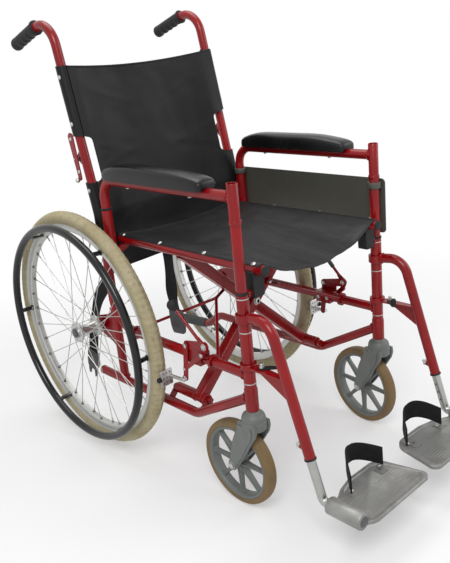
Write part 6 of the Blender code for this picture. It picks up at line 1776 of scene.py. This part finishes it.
hang("back_panel_lower", lower_rows, "frame_right", (0,), (4,), ["back_sling"])
hang("back_panel_upper", upper_rows, "back_right", (50,), (47, 45))
for side in SIDES:
    name = SIDES[side]
    back_sleeve(side, 0.5250, 0.6784, "frame_" + name, "lower")
    back_sleeve(side, 0.7853, SLING_TOP, "back_" + name, "upper")
    # a patch behind the lap covers the folding joint
    rows = []
    for i in range(21):
        z = LAP_Z - 0.030 + 0.060 * i / 20
        row = []
        for k in range(23):
            x = 0.1870 - 0.163 * k / 22
            y = back_y(z) - CANE_WRAP + back_depth(side * x / (FRAME_X - 0.0035), z) + 0.0024
            row.append(Vector((x, y, z)))
        rows.append(row)
    patch = paired("joint_patch", [sheet_mesh(rows, VINYL)], "black_vinyl", None, side, smooth=60)
    row_length(rows[10])
    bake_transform(patch)
print("back panels", round(row_length(lower_rows[30]), 3), "m wide")

# %% Screws in the back sleeves
washer = [(0.0018, 0.0), (0.0048, 0.0), (0.0050, 0.0004), (0.0043, 0.0009), (0.0018, 0.0010)]
head = [(0.0036, 0.0008), (0.0036, 0.0014), (0.0027, 0.0023), (0.0008, 0.0027)]
out = Vector((1, -0.12, 0)).normalized()
for side in SIDES:
    for tag, heights in (("frame_", (0.661, 0.545)), ("back_", (0.917, 0.813))):
        heads = []
        for z in heights:
            foot = Vector((FRAME_X, back_y(z), z)) + out * (CANE_WRAP + VINYL / 2)
            heads += sheet_screw(washer, head, foot, out)
        piece("sleeve_screws_" + tag + SIDES[side], heads, "zinc", tag + SIDES[side], side)
print("back screws set")

# %% [markdown]
# ## The lap belt
#
# Two lengths of webbing hang at the right side. One is held by the seat rail and the other by the
# back post. Each carries half of a moulded buckle. A strap is flat, so it is built as a ribbon that
# follows its route, a little thicker along its selvages.

# %% Straps and buckles
def smooth_route(points, steps):
    """A Catmull-Rom curve through the points."""
    pts = [Vector(p) for p in points]
    pts = [pts[0] * 2 - pts[1]] + pts + [pts[-1] * 2 - pts[-2]]
    out = []
    for a, b, c, d in zip(pts, pts[1:], pts[2:], pts[3:]):
        for k in range(steps):
            t = k / steps
            out.append(0.5 * ((2 * b) + (c - a) * t + (2 * a - 5 * b + 4 * c - d) * t * t +
                              (3 * b - a - 3 * c + d) * t ** 3))
    return out + [pts[-2]]


# across a strap and through it: thin in the middle, thicker along both selvages
STRAP_SECTION = half_turned([(-1, -0.5), (-1, 0.5), (-0.94, 0.75), (-0.86, 0.5), (0, 0.42),
                             (0.86, 0.5), (0.94, 0.75)])


def strap(name, body, route, node, wide=0.036):
    """Build a strap along its route, and return the place for a buckle at its end."""
    path = smooth_route(route, 10)
    rings = []
    for i, here in enumerate(path):
        run = (path[min(i + 1, len(path) - 1)] - path[max(i - 1, 0)])
        run = Vector((0, run.y, run.z)).normalized()
        across = Vector((0, -run.z, run.y))
        twist = 0.0016 * sin(0.31 * i)
        rings.append([here + across * (u * wide / 2) +
                      Vector((v * 0.0019 + twist * u - 0.001, 0, 0)) for u, v in STRAP_SECTION])
    piece(name + "_strap", [skin(rings)], "webbing", body, -1, [node], "black_rubber")
    end, run = path[-1], (path[-1] - path[-3]).normalized()
    run = Vector((0, run.y, run.z)).normalized()
    across = Vector((0, -run.z, run.y))
    return Matrix(((across.x, run.x, 1, end.x), (across.y, run.y, 0, end.y),
                   (across.z, run.z, 0, end.z), (0, 0, 0, 1)))


def buckle(name, body, place, socket):
    """Outline in (across, along): a box with cross bars and ridges, and a fork on the tongue half.
    """
    half, low, high = 0.0225, -0.0065, 0.0040
    shell = [(-half * 0.86, -0.010), (half * 0.86, -0.010), (half * 0.93, -0.008),
             (half * 0.96, 0.0), (half * 1.02, 0.014), (half, 0.030), (half * 0.86, 0.044),
             (half * 0.72, 0.048),
             (-half * 0.72, 0.048), (-half * 0.86, 0.044), (-half, 0.030), (-half * 1.02, 0.014),
             (-half * 0.96, 0.0), (-half * 0.93, -0.008)]
    body_mesh = slab(shell, low, high, "XY", 0.0018)
    bars = [slab(oblong(-half * 0.84, v, half * 0.84, v + 0.0034), low - 0.0012, high + 0.0012,
                 "XY", 0.0008) for v in (-0.007, 0.002)]
    ridge = [slab(oblong(-half * 0.55, v, half * 0.55, v + 0.0016), high - 0.0005, high + 0.0010,
                  "XY", 0.0005) for v in (0.016, 0.021, 0.026)]
    prongs = [] if socket else [slab([(s * 0.006, 0.046), (s * 0.018, 0.044), (s * 0.0195, 0.056),
                                      (s * 0.0165, 0.068), (s * 0.0120, 0.072),
                                      (s * 0.0105, 0.062)], -0.0036, 0.0012, "XY", 0.0009)
                                for s in (1, -1)]
    piece(name, moved([body_mesh, *bars, *ridge, *prongs], place), "dark_grey", body, -1,
          slot="black_rubber")


rail_x, rail_y = SEAT_RAIL_X - TUBE - 0.0003, HUB_Y - 0.258
place = strap("rail_belt", "belt_rail", [
    (rail_x, rail_y, 0.540), (rail_x, rail_y, 0.524), (rail_x - 0.004, rail_y + 0.005, 0.460),
    (rail_x - 0.003, rail_y + 0.006, 0.4152), (rail_x - 0.005, rail_y + 0.002, 0.372)],
    "belt_on_rail")
buckle("buckle_socket", "belt_rail", place, True)
post_x = FRAME_X - TUBE - 0.0003
place = strap("post_belt", "frame_right", [
    (post_x, BACK_Y, 0.515), (post_x, BACK_Y + 0.005, 0.478),
    (post_x - 0.004, HUB_Y - 0.035, 0.420), (post_x - 0.008, HUB_Y + 0.025, 0.360),
    (post_x - 0.010, HUB_Y + 0.070, 0.275), (post_x - 0.010, HUB_Y + 0.098, 0.185)],
    "belt_on_post")
buckle("buckle_tongue", "frame_right", place, False)
piece("belt_bolt", [
    hex_nut((post_x - 0.0060, BACK_Y, 0.510), (post_x - 0.0022, BACK_Y, 0.510), 0.0070),
    rod((post_x - 0.0030, BACK_Y, 0.510), (post_x - 0.0020, BACK_Y, 0.510), 0.0095)],
    "zinc", "frame_right", -1)
print("belts hang at the right side")

# %% [markdown]
# ## Floor, light and background
#
# The photograph was taken in even light on a white ground. A wide soft lamp hangs above, a second
# one fills from the camera's side, and the background is white only for rays that see it directly
# or by reflection. The floor is pale near the chair, so that it keeps the shadow, and turns to the
# background's white further out.

# %% Floor and background
def seen(g):
    """1 for rays that see a surface directly or by a glossy reflection, 0 for the others."""
    return g.combine("MAXIMUM", g.node("ShaderNodeLightPath", {}, {}, "Is Camera Ray"),
                     g.node("ShaderNodeLightPath", {}, {}, "Is Glossy Ray"))


def floor_material():
    g = Graph("floor")
    g.tree.nodes.remove(g.shader)
    shade = g.node("ShaderNodeBsdfDiffuse", {}, {"Color": (0.94, 0.94, 0.94, 1.0)})
    glow = g.node("ShaderNodeEmission", {}, {"Color": (1.0, 1.0, 1.0, 1.0), "Strength": 1.0})
    away = g.node("ShaderNodeVectorMath", {"operation": "LENGTH"}, {0: g.place}, "Value")
    far = (0.35 + g.step(away, 0.75, 1.7) * 0.65) * seen(g)
    mix = g.node("ShaderNodeMixShader", {}, {0: far, 1: shade, 2: glow})
    g.feed(g.tree.nodes["Material Output"].inputs["Surface"], mix)
    return g.material


floor_mesh = bmesh.new()
bmesh.ops.create_circle(floor_mesh, cap_ends=True, segments=96, radius=14)
floor_data = bpy.data.meshes.new("floor")
floor_mesh.to_mesh(floor_data)
floor_mesh.free()
floor = bpy.data.objects.new("floor", floor_data)
bpy.context.scene.collection.objects.link(floor)
floor.location.z = -0.0005
floor_data.materials.append(floor_material())

world = bpy.data.worlds.new("studio")
bpy.context.scene.world = world
sky = Graph("sky", world)
sky.tree.nodes.remove(sky.tree.nodes["Background"])
soft = sky.node("ShaderNodeBackground", {}, {"Color": (0.97, 0.98, 1.0, 1.0), "Strength": 0.42})
white = sky.node("ShaderNodeBackground", {}, {"Color": (1.0, 1.0, 1.0, 1.0), "Strength": 1.0})
through = sky.node("ShaderNodeLightPath", {}, {}, "Is Transmission Ray")
mixed = sky.node("ShaderNodeMixShader", {}, {
    0: sky.combine("MAXIMUM", seen(sky), through), 1: soft, 2: white})
sky.feed(sky.tree.nodes["World Output"].inputs["Surface"], mixed)
print("floor and world ready")

# %% Lamps
def lamp(name, place, aim, size, power):
    light = bpy.data.objects.new(name, bpy.data.lights.new(name, "AREA"))
    bpy.context.scene.collection.objects.link(light)
    light.data.shape = "DISK"
    light.data.size = size
    light.data.energy = power
    light.location = place
    light.rotation_euler = (Vector(aim) - Vector(place)).to_track_quat("-Z", "Y").to_euler()
    return light


lamp("key", (-1.7, -1.5, 2.7), (0, 0, 0.45), 1.6, 48)
lamp("fill", (1.9, -1.6, 1.7), (0, 0, 0.5), 1.8, 16)
lamp("top", (0.1, 0.6, 2.8), (0, 0, 0.5), 1.8, 26)
bpy.context.scene.view_settings.view_transform = "Standard"
print("three lamps")

# %% Finish
for node, shown in frame["nodes"].items():
    if not shown.hide_render:
        print("still shown as CAD:", node)
